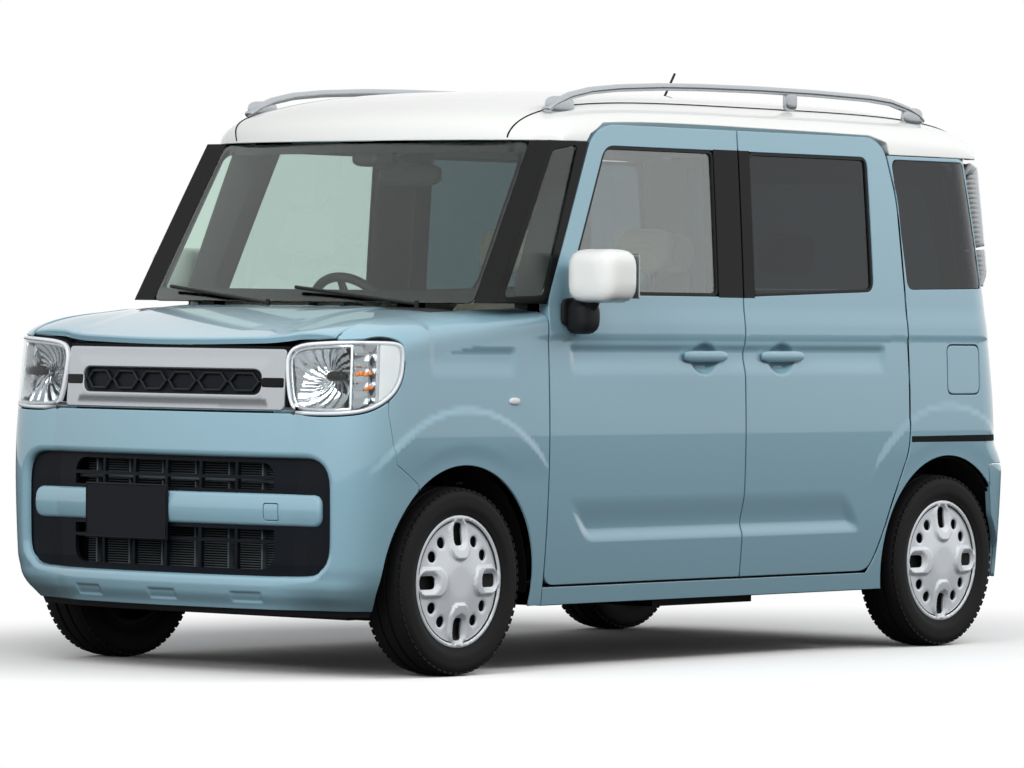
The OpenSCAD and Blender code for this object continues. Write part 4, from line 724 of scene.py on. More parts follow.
@dataclass
class Solid:
    """Points, faces and face-corner normals of a piece being made."""

    points: list[Array] = field(default_factory=list)
    faces: list[Array] = field(default_factory=list)
    normals: list[Array] = field(default_factory=list)
    count: int = 0

    def put(self, points: Array) -> Array:
        """Adds points.

        Args:
            points: Points in millimetres.

        Returns:
            Their numbers.
        """
        self.points.append(points)
        self.count += len(points)
        return np.arange(self.count - len(points), self.count)

    def skin(self, faces: Array, normals: Array) -> None:
        """Adds faces with a normal at each corner, and turns them to face along it.

        Args:
            faces: Point numbers, by face.
            normals: Normals, by face and corner.
        """
        p = np.concatenate(self.points)
        a, b, c = (p[faces[:, i]] for i in range(3))
        wrong = (np.cross(b - a, c - a) * normals.sum(1)).sum(1) < 0
        faces, normals = faces.copy(), normals.copy()
        faces[wrong], normals[wrong] = faces[wrong][:, ::-1], normals[wrong][:, ::-1]
        self.faces.append(faces)
        self.normals.append(normals)

    def band(self, a: Array, b: Array, bend_a: Array, bend_b: Array) -> None:
        """Adds the faces between two closed rows of points.

        Args:
            a: Point numbers of the first row.
            b: Point numbers of the second row.
            bend_a: Normals of the first row.
            bend_b: Normals of the second row.
        """
        on = np.roll(np.arange(len(a)), -1)
        self.skin(np.stack([a, a[on], b[on], b], 1), np.stack([bend_a, bend_a[on], bend_b[on], bend_b], 1))

    def mirrored(self) -> "Solid":
        """The same piece on the other side of the car.

        Returns:
            The piece.
        """
        flip = np.array([1.0, -1.0, 1.0])
        return Solid(
            [p * flip for p in self.points], [f[:, ::-1] for f in self.faces],
            [n[:, ::-1] * flip for n in self.normals], self.count
        )

    def turned(self, about: Matrix) -> "Solid":
        """The same piece moved by a matrix in millimetres.

        Args:
            about: The move.

        Returns:
            The piece.
        """
        m = np.array(about)
        return Solid(
            [p @ m[:3, :3].T + m[:3, 3] for p in self.points], list(self.faces),
            [n @ m[:3, :3].T for n in self.normals], self.count
        )

    def joined(self, *others: "Solid") -> "Solid":
        """This piece and others as one.

        Args:
            others: The other pieces.

        Returns:
            The piece.
        """
        out = Solid(list(self.points), list(self.faces), list(self.normals), self.count)
        for o in others:
            out.faces += [f + out.count for f in o.faces]
            out.points += o.points
            out.normals += o.normals
            out.count += o.count
        return out


def pressing(
    outer: Sequence, skin: SkinMap, holes: Iterable[Sequence] = (), step: float = 14,
    fine: Iterable[tuple] = (), fine_step: float = 6, edge: float = 2.5, wall: float = 30,
    hole_edge: float | None = None, core: tuple = (0, 0, 700),
) -> Solid:
    """Presses a sheet from a flat pattern, with rolled edges and a closed back.

    Args:
        outer: Outline of the pattern.
        skin: Map from the pattern to the car, in millimetres.
        holes: Outlines of holes.
        step: Size of the faces.
        fine: Boxes of the pattern with small faces.
        fine_step: Size of the small faces.
        edge: Radius of the outer edge.
        wall: Depth of the piece.
        hole_edge: Radius of the holes' edges.
        core: A point behind the skin.

    Returns:
        The piece.
    """
    core_p = np.array(core, float)

    def normal_of(uv: Array) -> Array:
        e = 0.5
        du = skin(uv + [e, 0]) - skin(uv - [e, 0])
        dv = skin(uv + [0, e]) - skin(uv - [0, e])
        n = unit(np.cross(du, dv))
        return np.where(((skin(uv) - core_p) * n).sum(1, keepdims=True) < 0, -n, n)

    loops, insets, radii = [], [], []
    for k, raw in enumerate([outer, *holes]):
        line = spread(raw, step)
        r = edge if k == 0 or hole_edge is None else hole_edge
        way = np.roll(line, -1, 0) - np.roll(line, 1, 0)
        turn = unit(np.stack([-way[:, 1], way[:, 0]], 1))
        loops.append(line)
        insets.append(line + turn * r * turning(line) * (1 if k == 0 else -1))
        radii.append(r)
    rim = np.concatenate(insets)
    low, high = insets[0].min(0), insets[0].max(0)

    def within(pts: Array) -> Array:
        return inside(insets[0], pts) & ~np.any(
            [inside(hole, pts) for hole in insets[1:]] or [[False]], axis=0
        )

    def grid(size: float, lo: Array, hi: Array) -> Array:
        gx, gy = np.meshgrid(np.arange(lo[0], hi[0], size), np.arange(lo[1], hi[1], size))
        gx = gx + (np.arange(gx.shape[0]) % 2)[:, None] * size / 2
        return np.stack([gx.ravel(), gy.ravel()], 1)

    fine = [(np.array(b[:2], float), np.array(b[2:], float)) for b in fine]
    inner = grid(step, low + step / 2, high)
    for lo, hi in fine:
        inner = inner[~((inner > lo - fine_step / 2) & (inner < hi + fine_step / 2)).all(1)]
    sets = [(inner, step)] + [
        (grid(fine_step, np.maximum(lo, low), np.minimum(hi, high)), fine_step) for lo, hi in fine
    ]
    kept = []
    for pts, size in sets:
        pts = pts[within(pts)]
        if len(pts):
            parts = np.array_split(pts, max(1, len(pts) // 1500))
            near = np.concatenate([((c[:, None] - rim[None]) ** 2).sum(2).min(1) for c in parts])
            kept.append(pts[near > (0.55 * size) ** 2])
    uv = np.concatenate([rim, *kept])
    edges, at = [], 0
    for line in insets:
        n = len(line)
        edges += [(at + i, at + (i + 1) % n) for i in range(n)]
        at += n
    _, _, tris, origin, _, _ = delaunay_2d_cdt([Vector(p) for p in uv], edges, [], 0, 1e-4)
    back = np.array([o[0] if o else -1 for o in origin])
    tri = back[np.array([t for t in tris if len(t) == 3])]
    tri = tri[(tri >= 0).all(1)]
    tri = tri[within(uv[tri].mean(1))]
    top, normal = skin(uv), normal_of(uv)
    solid = Solid()
    front = solid.put(top)
    solid.skin(tri, normal[tri])
    under = np.full(len(uv), -1)
    at = 0
    for line, r in zip(loops, radii):
        n = len(line)
        here, nrm = top[at : at + n], normal[at : at + n]
        out = skin(line) - here
        out = unit(out - nrm * (out * nrm).sum(1, keepdims=True))
        rings, bends = [front[at : at + n]], [nrm]
        for a in (math.pi / 6, math.pi / 3, math.pi / 2):
            rings.append(solid.put(here + out * r * math.sin(a) - nrm * r * (1 - math.cos(a))))
            bends.append(nrm * math.cos(a) + out * math.sin(a))
        rings.append(solid.put(here + out * r - nrm * max(wall, r + 0.5)))
        bends.append(out)
        for k in range(len(rings) - 1):
            solid.band(rings[k], rings[k + 1], bends[k], bends[k + 1])
        under[at : at + n] = rings[-1]
        at += n
    deep = np.arange(at, len(uv))
    under[deep] = solid.put(top[deep] - normal[deep] * wall)
    solid.skin(under[tri], -normal[tri])
    return solid


def lathe(profile: Sequence[tuple[float, float]], n: int = 96, sharp: float = 40.0) -> Solid:
    """Turns a closed profile about the Y axis.

    Args:
        profile: Points as place along the axis and radius.
        n: Pieces round.
        sharp: Angle in degrees past which an edge stays sharp.

    Returns:
        The piece.
    """
    solid = Solid()
    p = np.asarray(profile, float)
    a = np.linspace(0, 2 * math.pi, n, endpoint=False)
    ring = [solid.put(np.stack([r * np.cos(a), np.full(n, y), r * np.sin(a)], 1)) for y, r in p]
    way = unit(np.roll(p, -1, 0) - p)
    flat = np.stack([way[:, 1], -way[:, 0]], 1) * turning(p)
    m = len(p)

    def spin(v: Array) -> Array:
        return np.stack([v[1] * np.cos(a), np.full(n, v[0]), v[1] * np.sin(a)], 1)

    def bend(i: int, j: int) -> Array:
        other = flat[(j - 1) % m] if j == i else flat[j % m]
        v = flat[i] + other if flat[i] @ other > math.cos(math.radians(sharp)) else flat[i]
        return spin(v / np.linalg.norm(v))

    for i in range(m):
        j = (i + 1) % m
        if p[i][1] < 1e-6 and p[j][1] < 1e-6:
            continue
        solid.band(ring[i], ring[j], bend(i, i), bend(i, i + 1))
    return solid


def tube(
    path: Sequence, radius: float | Sequence[tuple[float, float]], n: int = 20, closed: bool = False
) -> Solid:
    """A round or oval bar along a path.

    Args:
        path: Points in millimetres.
        radius: Radius, or half widths across and up for each point.
        n: Pieces round.
        closed: Whether the path runs back into itself.

    Returns:
        The piece.
    """
    p = np.asarray(path, float)
    m = len(p)
    size = np.full((m, 2), radius) if np.isscalar(radius) else np.asarray(radius, float)
    way = unit(np.roll(p, -1, 0) - np.roll(p, 1, 0) if closed else np.gradient(p, axis=0))
    ref = np.array([0, 0, 1.0]) if abs(way[:, 2]).mean() < 0.8 else np.array([0, 1.0, 0])
    side = unit(np.cross(way, ref))
    up = np.cross(side, way)
    a = np.linspace(0, 2 * math.pi, n, endpoint=False)
    solid, rings, bends = Solid(), [], []
    for i in range(m):
        c, s = np.cos(a)[:, None], np.sin(a)[:, None]
        rings.append(solid.put(p[i] + side[i] * c * size[i, 0] + up[i] * s * size[i, 1]))
        bends.append(unit(side[i] * c / size[i, 0] + up[i] * s / size[i, 1]))
    nxt = np.roll(np.arange(n), -1)
    for i in range(m if closed else m - 1):
        j = (i + 1) % m
        solid.band(rings[i], rings[j], bends[i], bends[j])
    if not closed:
        for i, d in ((0, -way[0]), (m - 1, way[-1])):
            tip = solid.put(p[i : i + 1] + d * size[i].min() * 0.4)
            f = np.stack([rings[i], rings[i][nxt], np.full(n, tip[0])], 1)
            solid.skin(f, np.stack([bends[i] + d, bends[i][nxt] + d, np.tile(2 * d, (n, 1))], 1) / 2)
    return solid


def block(low: Sequence[float], high: Sequence[float], r: float = 4.0, parts: int = 3) -> Solid:
    """A box with rolled edges.

    Args:
        low: Lowest corner.
        high: Highest corner.
        r: Radius of the edges.
        parts: Pieces of an edge.

    Returns:
        The piece.
    """
    lo, hi = np.array(low, float), np.array(high, float)
    r = min(r, (hi - lo).min() * 0.49)
    bm = bmesh.new()
    bmesh.ops.create_cube(bm, size=1.0)
    for v in bm.verts:
        v.co = Vector([lo[i] if v.co[i] < 0 else hi[i] for i in range(3)])
    bmesh.ops.bevel(bm, geom=bm.edges[:], offset=r, segments=parts, profile=0.5, affect="EDGES")
    bmesh.ops.triangulate(bm, faces=bm.faces[:])
    bm.normal_update()
    solid = Solid()
    points = np.array([v.co for v in bm.verts])
    solid.put(points)
    bm.verts.index_update()
    faces = np.array([[v.index for v in f.verts] for f in bm.faces])
    normal = unit(points - np.clip(points, lo + r, hi - r))
    solid.skin(faces, normal[faces])
    bm.free()
    return solid


def piece(
    name: str, solid: Solid, finish: Finish, body: str = "body", nodes: Sequence[str] = ()
) -> bpy.types.Object:
    """Makes a solid into an object that rides on a body.

    Args:
        name: Name of the object.
        solid: The shape.
        finish: Its finish.
        body: The body it rides on.
        nodes: Nodes it stands for.

    Returns:
        The object.
    """
    points = np.concatenate(solid.points) * MM
    faces = [row for f in solid.faces for row in f.tolist()]
    normals = unit(np.concatenate([n.reshape(-1, 3) for n in solid.normals]))
    mesh = bpy.data.meshes.new(name)
    mesh.from_pydata(points.tolist(), [], faces)
    mesh.polygons.foreach_set("use_smooth", np.ones(len(faces), bool))
    mesh.normals_split_custom_set(normals.tolist())
    mesh.update()
    return place(bpy.data.objects.new(name, mesh), finish, body, nodes)


def place(obj: bpy.types.Object, finish: Finish, body: str, nodes: Sequence[str] = ()) -> bpy.types.Object:
    """Links an object, gives it its finish and lets it ride.

    Args:
        obj: The object.
        finish: Its finish.
        body: The body it rides on.
        nodes: Nodes it stands for.

    Returns:
        The object.
    """
    if not obj.users_collection:
        bpy.context.scene.collection.objects.link(obj)
    obj.data.materials.clear()
    obj.data.materials.append(material(finish))
    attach(obj, body)
    if nodes:
        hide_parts(*nodes)
    return obj


SIDES = ((1, "left"), (-1, "right"))


def on_side(solid: Solid, side: int) -> Solid:
    """A left piece, or its like on the right.

    Args:
        solid: The left piece.
        side: One for the left, minus one for the right.

    Returns:
        The piece of that side.
    """
    return solid if side > 0 else solid.mirrored()


def baked(obj: bpy.types.Object) -> bpy.types.Mesh:
    """The mesh of an object after its modifiers.

    Args:
        obj: The object.

    Returns:
        A plain mesh.
    """
    return bpy.data.meshes.new_from_object(obj.evaluated_get(bpy.context.evaluated_depsgraph_get()))


def both(solid: Solid) -> Solid:
    """A piece and its like on the other side, as one.

    Args:
        solid: The left piece.

    Returns:
        Both.
    """
    return solid.joined(solid.mirrored())


def arc(x: float, r: float, a0: float, a1: float, n: int = 24) -> list[tuple[float, float]]:
    """Points of a wheel arch.

    Args:
        x: Place of the wheel.
        r: Radius.
        a0: First angle in degrees.
        a1: Last angle.
        n: Pieces.

    Returns:
        Points in the side view.
    """
    angles = [math.radians(a0 + (a1 - a0) * i / n) for i in range(n + 1)]
    return [(x + r * math.cos(a), Skin.HUB_Z + r * math.sin(a)) for a in angles]


LAMP_CORNERS = (
    (440, 890), (453, 800), (480, 774), (550, 766), (680, 769), (750, 783), (813, 823), (846, 876),
    (850, 955), (832, 985), (760, 989), (610, 984), (472, 975), (440, 942),
)
LAMP_ROUNDING = 100.0


def lamp_outline(grow: float = 0.0) -> list[tuple[float, float]]:
    """Outline of the left headlamp in the front's pattern.

    Args:
        grow: Distance added all round.

    Returns:
        Pattern points.
    """
    return rounded(inset(LAMP_CORNERS, -grow), LAMP_ROUNDING)


def lamp_skin(out: float) -> SkinMap:
    """The front's skin where the lamp lies, kept within the wing.

    Args:
        out: Distance in front of the skin.

    Returns:
        The map.
    """

    def put(uv: Array) -> Array:
        p = FRONT.skin(out)(uv)
        p[:, 1] = np.minimum(p[:, 1], Wing.beside(p[:, 0], p[:, 1], p[:, 2])[0] + out)
        return p

    return put


def inset(points: Sequence, d: float) -> list[tuple[float, float]]:
    """Moves an outline inward.

    Args:
        points: Corners.
        d: Distance, outward where negative.

    Returns:
        The new corners.
    """
    p = np.asarray(points, float)
    p = p[np.linalg.norm(p - np.roll(p, 1, 0), axis=1) > 1e-6]
    way = unit(np.roll(p, -1, 0) - p)
    n2 = np.stack([-way[:, 1], way[:, 0]], 1) * turning(p)
    n1 = np.roll(n2, 1, 0)
    return [tuple(v) for v in p + d * (n1 + n2) / np.maximum(1 + (n1 * n2).sum(1, keepdims=True), 0.2)]


def clipped(points: Sequence, y: float, below: bool) -> list[tuple[float, float]]:
    """Cuts an outline at an upright line.

    Args:
        points: Corners.
        y: Place of the line.
        below: Whether the part with the lower places stays.

    Returns:
        Corners of the part that stays.
    """
    sign = 1 if below else -1
    out: list[tuple[float, float]] = []
    for a, b in zip(points, [*points[1:], points[0]]):
        ka, kb = sign * (y - a[0]), sign * (y - b[0])
        if ka >= 0:
            out.append(tuple(a))
        if ka * kb < 0:
            t = ka / (ka - kb)
            out.append((y, a[1] + (b[1] - a[1]) * t))
    return out


def pebble(low: Sequence[float], high: Sequence[float], power: float, n: int = 32) -> Solid:
    """A soft-edged block: round where the power is two, boxier above.

    Args:
        low: Lowest corner.
        high: Highest corner.
        power: Squareness.
        n: Pieces round.

    Returns:
        The piece.
    """
    lo, hi = np.array(low, float), np.array(high, float)
    half, mid = (hi - lo) / 2, (hi + lo) / 2
    solid = Solid()
    m = n // 2
    rings, bends = [], []
    for i in range(m + 1):
        b = math.pi * i / m - math.pi / 2
        a = 2 * math.pi * np.arange(n) / n
        v = np.stack([math.cos(b) * np.cos(a), math.cos(b) * np.sin(a), np.full(n, math.sin(b))], 1)
        v /= np.maximum((np.abs(v) ** power).sum(1, keepdims=True) ** (1 / power), 1e-9)
        rings.append(solid.put((mid + v * half)[: 1 if i in (0, m) else n]))
        bends.append(unit(np.sign(v) * np.abs(v) ** (power - 1) / half))
    nxt = np.roll(np.arange(n), -1)
    for i in range(m):
        ra, rb = (np.broadcast_to(r, n) if len(r) == 1 else r for r in (rings[i], rings[i + 1]))
        na, nb = bends[i], bends[i + 1]
        if i == 0:
            solid.skin(np.stack([ra, rb[nxt], rb], 1), np.stack([na, nb[nxt], nb], 1))
        elif i == m - 1:
            solid.skin(np.stack([ra, ra[nxt], rb], 1), np.stack([na, na[nxt], nb], 1))
        else:
            solid.band(ra, rb, na, nb)
    return solid


def side_skin(out: float) -> SkinMap:
    """The left side moved outward.

    Args:
        out: Distance.

    Returns:
        The map.
    """
    return lambda uv: Skin.side(uv) + np.array([0.0, out, 0.0])


@dataclass
class FrontEnd:
    """Bumper, bar, grille, lamps and plate."""

    seam: tuple = ((1379, 552), (1394, 568), (1486, 625), (1514, 771), (1513, 800))

    def build(self) -> None:
        """Makes the pieces."""
        left = FRONT.side_line([*arc(Skin.AXLE_F, Skin.ARCH_R, -14.0, 53.0, 16), *self.seam])
        meet = FRONT.from_x(*self.seam[-1])[0]
        under_lamp = [(u, z) for u, z in spread(lamp_outline(4), 6).tolist() if 480 < u < meet and z < 860]
        left += sorted(under_lamp, reverse=True) + FRONT.end_line([(470, 771)])
        right = [(-u, z) for u, z in reversed(left)]
        intake = FRONT.end_line(box2(-606, 606, 300, 640, 88))

        def tuck(uv: Array) -> Array:
            k = np.abs(uv[:, 0])
            deep = -42 * np.clip((335 - uv[:, 1]) / 138, 0, 1) ** 2
            return deep * soft((k - 400) / 220) * soft((985 - k) / 130)

        def shape(uv: Array) -> Array:
            p = FRONT.skin(tuck(uv), True)(uv)
            z, k = uv[:, 1], np.abs(uv[:, 0])
            dents = sum(soft((62 - np.abs(uv[:, 0] - c)) / 14) for c in (-330, 0, 330))
            dents = dents * soft((252 - z) / 8) * soft((z - 214) / 10)
            lip = 10 * soft((300 - z) / 40) * soft((z - 205) / 40) * soft((860 - k) / 200)
            p[:, 0] += lip - 5 * dents
            return p

        bumper = pressing(
            left + right, shape, [intake], step=13, fine=((-420, 197, 420, 262),), fine_step=7, edge=3,
            wall=24, hole_edge=20
        )
        piece("front_bumper_skin", bumper, Finishes.PAINT, nodes=["front_bumper"])

        def bar_skin(uv: Array) -> Array:
            p = FRONT.skin(-18)(uv)
            p[:, 0] += 8 - 12 * ((uv[:, 1] - 489) / 53) ** 2
            return p

        cap = pressing(FRONT.end_line(box2(371, 419, 459, 507, 8)), bar_skin, step=8, edge=2, wall=10)
        cap_hole = FRONT.end_line(box2(369, 421, 457, 509, 9))
        bar_line = FRONT.end_line(box2(-572, 572, 436, 542, 36))
        bar = pressing(bar_line, bar_skin, [cap_hole], step=12, edge=16, wall=34, hole_edge=1.5)
        piece("bumper_bar", bar.joined(cap), Finishes.PAINT)
        lip = FRONT.side_line(((1512, 178), (1510, 200)))
        lip += [(-u, z) for u, z in reversed(lip)]
        piece(
            "chin_lip", pressing(lip, lambda uv: FRONT.skin(tuck(uv) - 6)(uv), step=12, edge=3, wall=30),
            Finishes.PLASTIC
        )
        rows = repeated("radiator_fins", "row", 44, (4.0, 770.0, 2.2), 7.2)
        rows.transform(Matrix.Translation((1.592, 0, 0.312)))
        place(bpy.data.objects.new("radiator_fins", rows), Finishes.FIN, "body")
        posts = [block((1598, y - 3, 306), (1618, y + 3, 634), 2) for y in range(-330, 331, 132)]
        slats = Solid().joined(*posts, block((1612, -394, 566), (1626, 394, 578), 4))
        piece("grille_slats", slats, Finishes.FIN)
        piece("intake_back", block((1556, -690, 270), (1560, 560, 690), 1), Finishes.LINER_AND_SHADE)
        blank = block((1689, -305, 389.5), (1695.2, 25, 554.5), 2.6)
        rim = [(1696, y, z) for y, z in box2(-301, 21, 393.5, 550.5, 12)]
        piece("front_plate", blank.joined(tube(rim, 1.6, 10, True)), Finishes.PLATE, nodes=["number_plate"])
        self.grille()
        for side, word in SIDES:
            self.lamp(side, word)

    def grille(self) -> None:
        """Makes the upper grille, its slot and the bars in it."""
        outline = FRONT.end_line(rounded([(-436, 776), (436, 776), (433, 959), (-433, 959)], 16))
        half, mid, tall = 354, 860, 36
        slot = FRONT.end_line(box2(-half, half, mid - tall, mid + tall, 30))

        def shape(uv: Array) -> Array:
            p = FRONT.skin(-1)(uv)
            y, z = p[:, 1], p[:, 2]
            rim = soft((36 - np.maximum(np.abs(z - mid) - tall, np.abs(y) - half)) / 32)
            p[:, 0] += 3 * rim - 3
            return p

        piece(
            "grille_plate", pressing(outline, shape, [slot], step=10, edge=6, wall=14, hole_edge=5),
            Finishes.SATIN, nodes=["grille_panel"]
        )
        piece("grille_slot_back", pressing(slot, FRONT.skin(-26), step=30, edge=1, wall=4), Finishes.LINER_AND_SHADE)
        bars = Solid()
        for up in (1, -1):
            path, peak = [(2 - half, mid)], mid + up * 25
            for k in range(6):
                y = -345 + 115 * k
                path += [(y + 6, mid), (y + 28, peak), (y + 87, peak), (y + 109, mid)]
            path.append((half - 2, mid))
            uv = np.array(FRONT.end_line(path))
            uv = np.concatenate([np.linspace(a, b, 5)[:-1] for a, b in zip(uv, uv[1:])] + [uv[-1:]])
            bars = bars.joined(tube(FRONT.skin(-11)(uv), 4.2, 10))
        piece("grille_hex_bars", bars, Finishes.PLASTIC)
        band = FRONT.end_line(box2(357, 430, 846, 874, 6))
        piece("grille_bands", both(pressing(band, FRONT.skin(0.6), step=14, edge=2, wall=6)), Finishes.GLOSS)
        # A black sheet behind the gap round the grille plate: painted shade, standing in for the dark depth
        # of the gap.
        gap = FRONT.end_line([(-440, 770), (440, 770), (440, 966), (-440, 966)])
        piece(
            "grille_gap_shade", pressing(gap, FRONT.skin(-14), [slot], step=20, edge=1, wall=6), Finishes.LINER_AND_SHADE
        )

    def lamp(self, side: int, word: str) -> None:
        """Makes one headlamp.

        Args:
            side: One for the left, minus one for the right.
            word: Name of the side.
        """

        def put(name: str, solid: Solid, finish: Finish, nodes: Sequence[str] = ()) -> None:
            piece(f"headlamp_{name}_{word}", on_side(solid, side), finish, nodes=nodes)

        def at(y: float, z: float, out: float) -> Array:
            return FRONT.skin(out)(np.array(FRONT.end_line([(y, z)])))[0]

        inner = lamp_outline(-12)
        main_end, turn_end, panel_start = 688, 757, 767
        main = clipped(inner, main_end, True)
        put(
            "rim", pressing(lamp_outline(), lamp_skin(2), [inner], step=9, edge=6, wall=84, hole_edge=5),
            Finishes.COVER
        )
        # A black sheet behind the gap round the lamp: painted shade, standing in for the dark depth of the
        # gap.
        put(
            "gap", pressing(lamp_outline(6), lamp_skin(-10), [lamp_outline(-4)], step=12, edge=1, wall=30),
            Finishes.LINER_AND_SHADE
        )
        put(
            "lens", pressing(lamp_outline(-11), lamp_skin(0), step=14, edge=1, wall=3), Finishes.LENS,
            ["headlamps"] if side > 0 else []
        )

        def bowl(uv: Array) -> Array:
            p = FRONT.skin(-66)(uv)
            dy, dz = (p[:, 1] - 562) / 112, (p[:, 2] - 880) / 96
            far = np.hypot(dy, dz)
            turn = np.arctan2(dz, dy) / (math.pi / 9) + 2.4 * far
            p[:, 0] += 44 * np.minimum(far, 1.2) ** 2 + 9 * np.abs((turn % 1) - 0.5) * soft(far * 3)
            return p

        put("reflector", pressing(main, bowl, step=5, edge=1, wall=5), Finishes.CHROME)
        x = at(600, 880, -52)[0]
        put("bulb_shade", pebble((x, 562, 866), (x + 36, 632, 896), 3, 24), Finishes.GLOSS)
        small = clipped(clipped(inner, main_end, False), turn_end + 1, True)

        def cup(uv: Array) -> Array:
            p = lamp_skin(-40)(uv)
            p[:, 0] += 26 * np.abs(((p[:, 2] - 800) / 42 % 1) - 0.5)
            return p

        put("turn_reflector", pressing(small, cup, step=5, edge=1, wall=5), Finishes.CHROME)
        beads = Solid()
        for u, z in ((702, 888), (716, 892), (730, 888), (744, 892), (736, 846), (748, 850)):
            c = lamp_skin(-24)(np.array([[u, z]]))[0]
            beads = beads.joined(pebble(tuple(c - 7), tuple(c + 7), 2.6, 16))
        put("turn_beads", beads, Finishes.AMBER)
        strip = clipped(clipped(inner, turn_end, False), panel_start, True)
        put("divider", pressing(strip, lamp_skin(-6), step=10, edge=2, wall=50), Finishes.SATIN)
        panel = pressing(clipped(inner, panel_start, False), lamp_skin(-7), step=10, edge=3, wall=12)
        put("panel", panel, Finishes.MILK)
        brow = pressing(main, FRONT.skin(-6), [inset(main, 9)], step=12, edge=2, wall=24, hole_edge=4)
        put("brow", brow, Finishes.SATIN)


@dataclass
class Bonnet:
    """The bonnet and the two front wings."""

    half: float = 602.0
    wing_in: float = 605.5
    wing_end: float = 787.5

    def build(self) -> None:
        """Makes the pieces."""
        front = []
        for i in range(81):
            y = self.half * (1 - i / 40)
            u, z = FRONT.from_y(y, 968.0 + 23 * float(soft((abs(y) - 424) / 40)))
            front.append((float(FRONT.skin()(np.array([[u, z]]))[0, 0]) - 5, y))
        outline = [(Skin.BONNET_R, -self.half), *reversed(front), (Skin.BONNET_R, self.half)]

        def hood(uv: Array) -> Array:
            x, y = uv[:, 0], uv[:, 1]
            crease = 4 * soft((np.abs(y) - 0.62 * self.half) / 60) * soft((1640 - x) / 120)
            return np.stack([x, y, Skin.hood_z(x, y) - crease + Skin.brow(x, y)], 1)

        piece(
            "bonnet_skin", pressing(outline, hood, step=14, edge=7, wall=20), Finishes.PAINT, "bonnet",
            ["bonnet"]
        )
        for side, word in SIDES:
            wing = self.wing()
            nodes = ["front_wings"] if side > 0 else []
            piece(f"wing_skin_{word}", on_side(wing, side), Finishes.PAINT, nodes=nodes)

    def wing(self) -> Solid:
        """Presses the left wing.

        Returns:
            The piece.
        """
        line = [(self.wing_end, 197.0)]
        line += arc(Skin.AXLE_F, Skin.ARCH_R, 194.0, 53.5, 40)
        line += [(1395, 569.5), (1487, 626.5), (1514, 772)]
        lamp = spread(lamp_outline(4), 6)
        meet = FRONT.from_x(1512, 800)[0]
        start = next(i for i, (u, z) in enumerate(lamp) if u > meet)
        for x, y, z in FRONT.skin()(np.roll(lamp, -start, 0)):
            if y < self.wing_in:
                break
            wide, t = Wing.beside(x, y, z)
            line.append((float(x), float(t)) if y >= wide else Wing.seen(y, z))
        xs = np.linspace(line[-1][0] - 6, self.wing_end, 40)
        line += [(x, Wing.over(float(x), self.wing_in)) for x in xs]
        return pressing(
            line, Wing.skin, step=13, fine=((915, 860, 1360, 990),), fine_step=7, edge=2.5, wall=7
        )


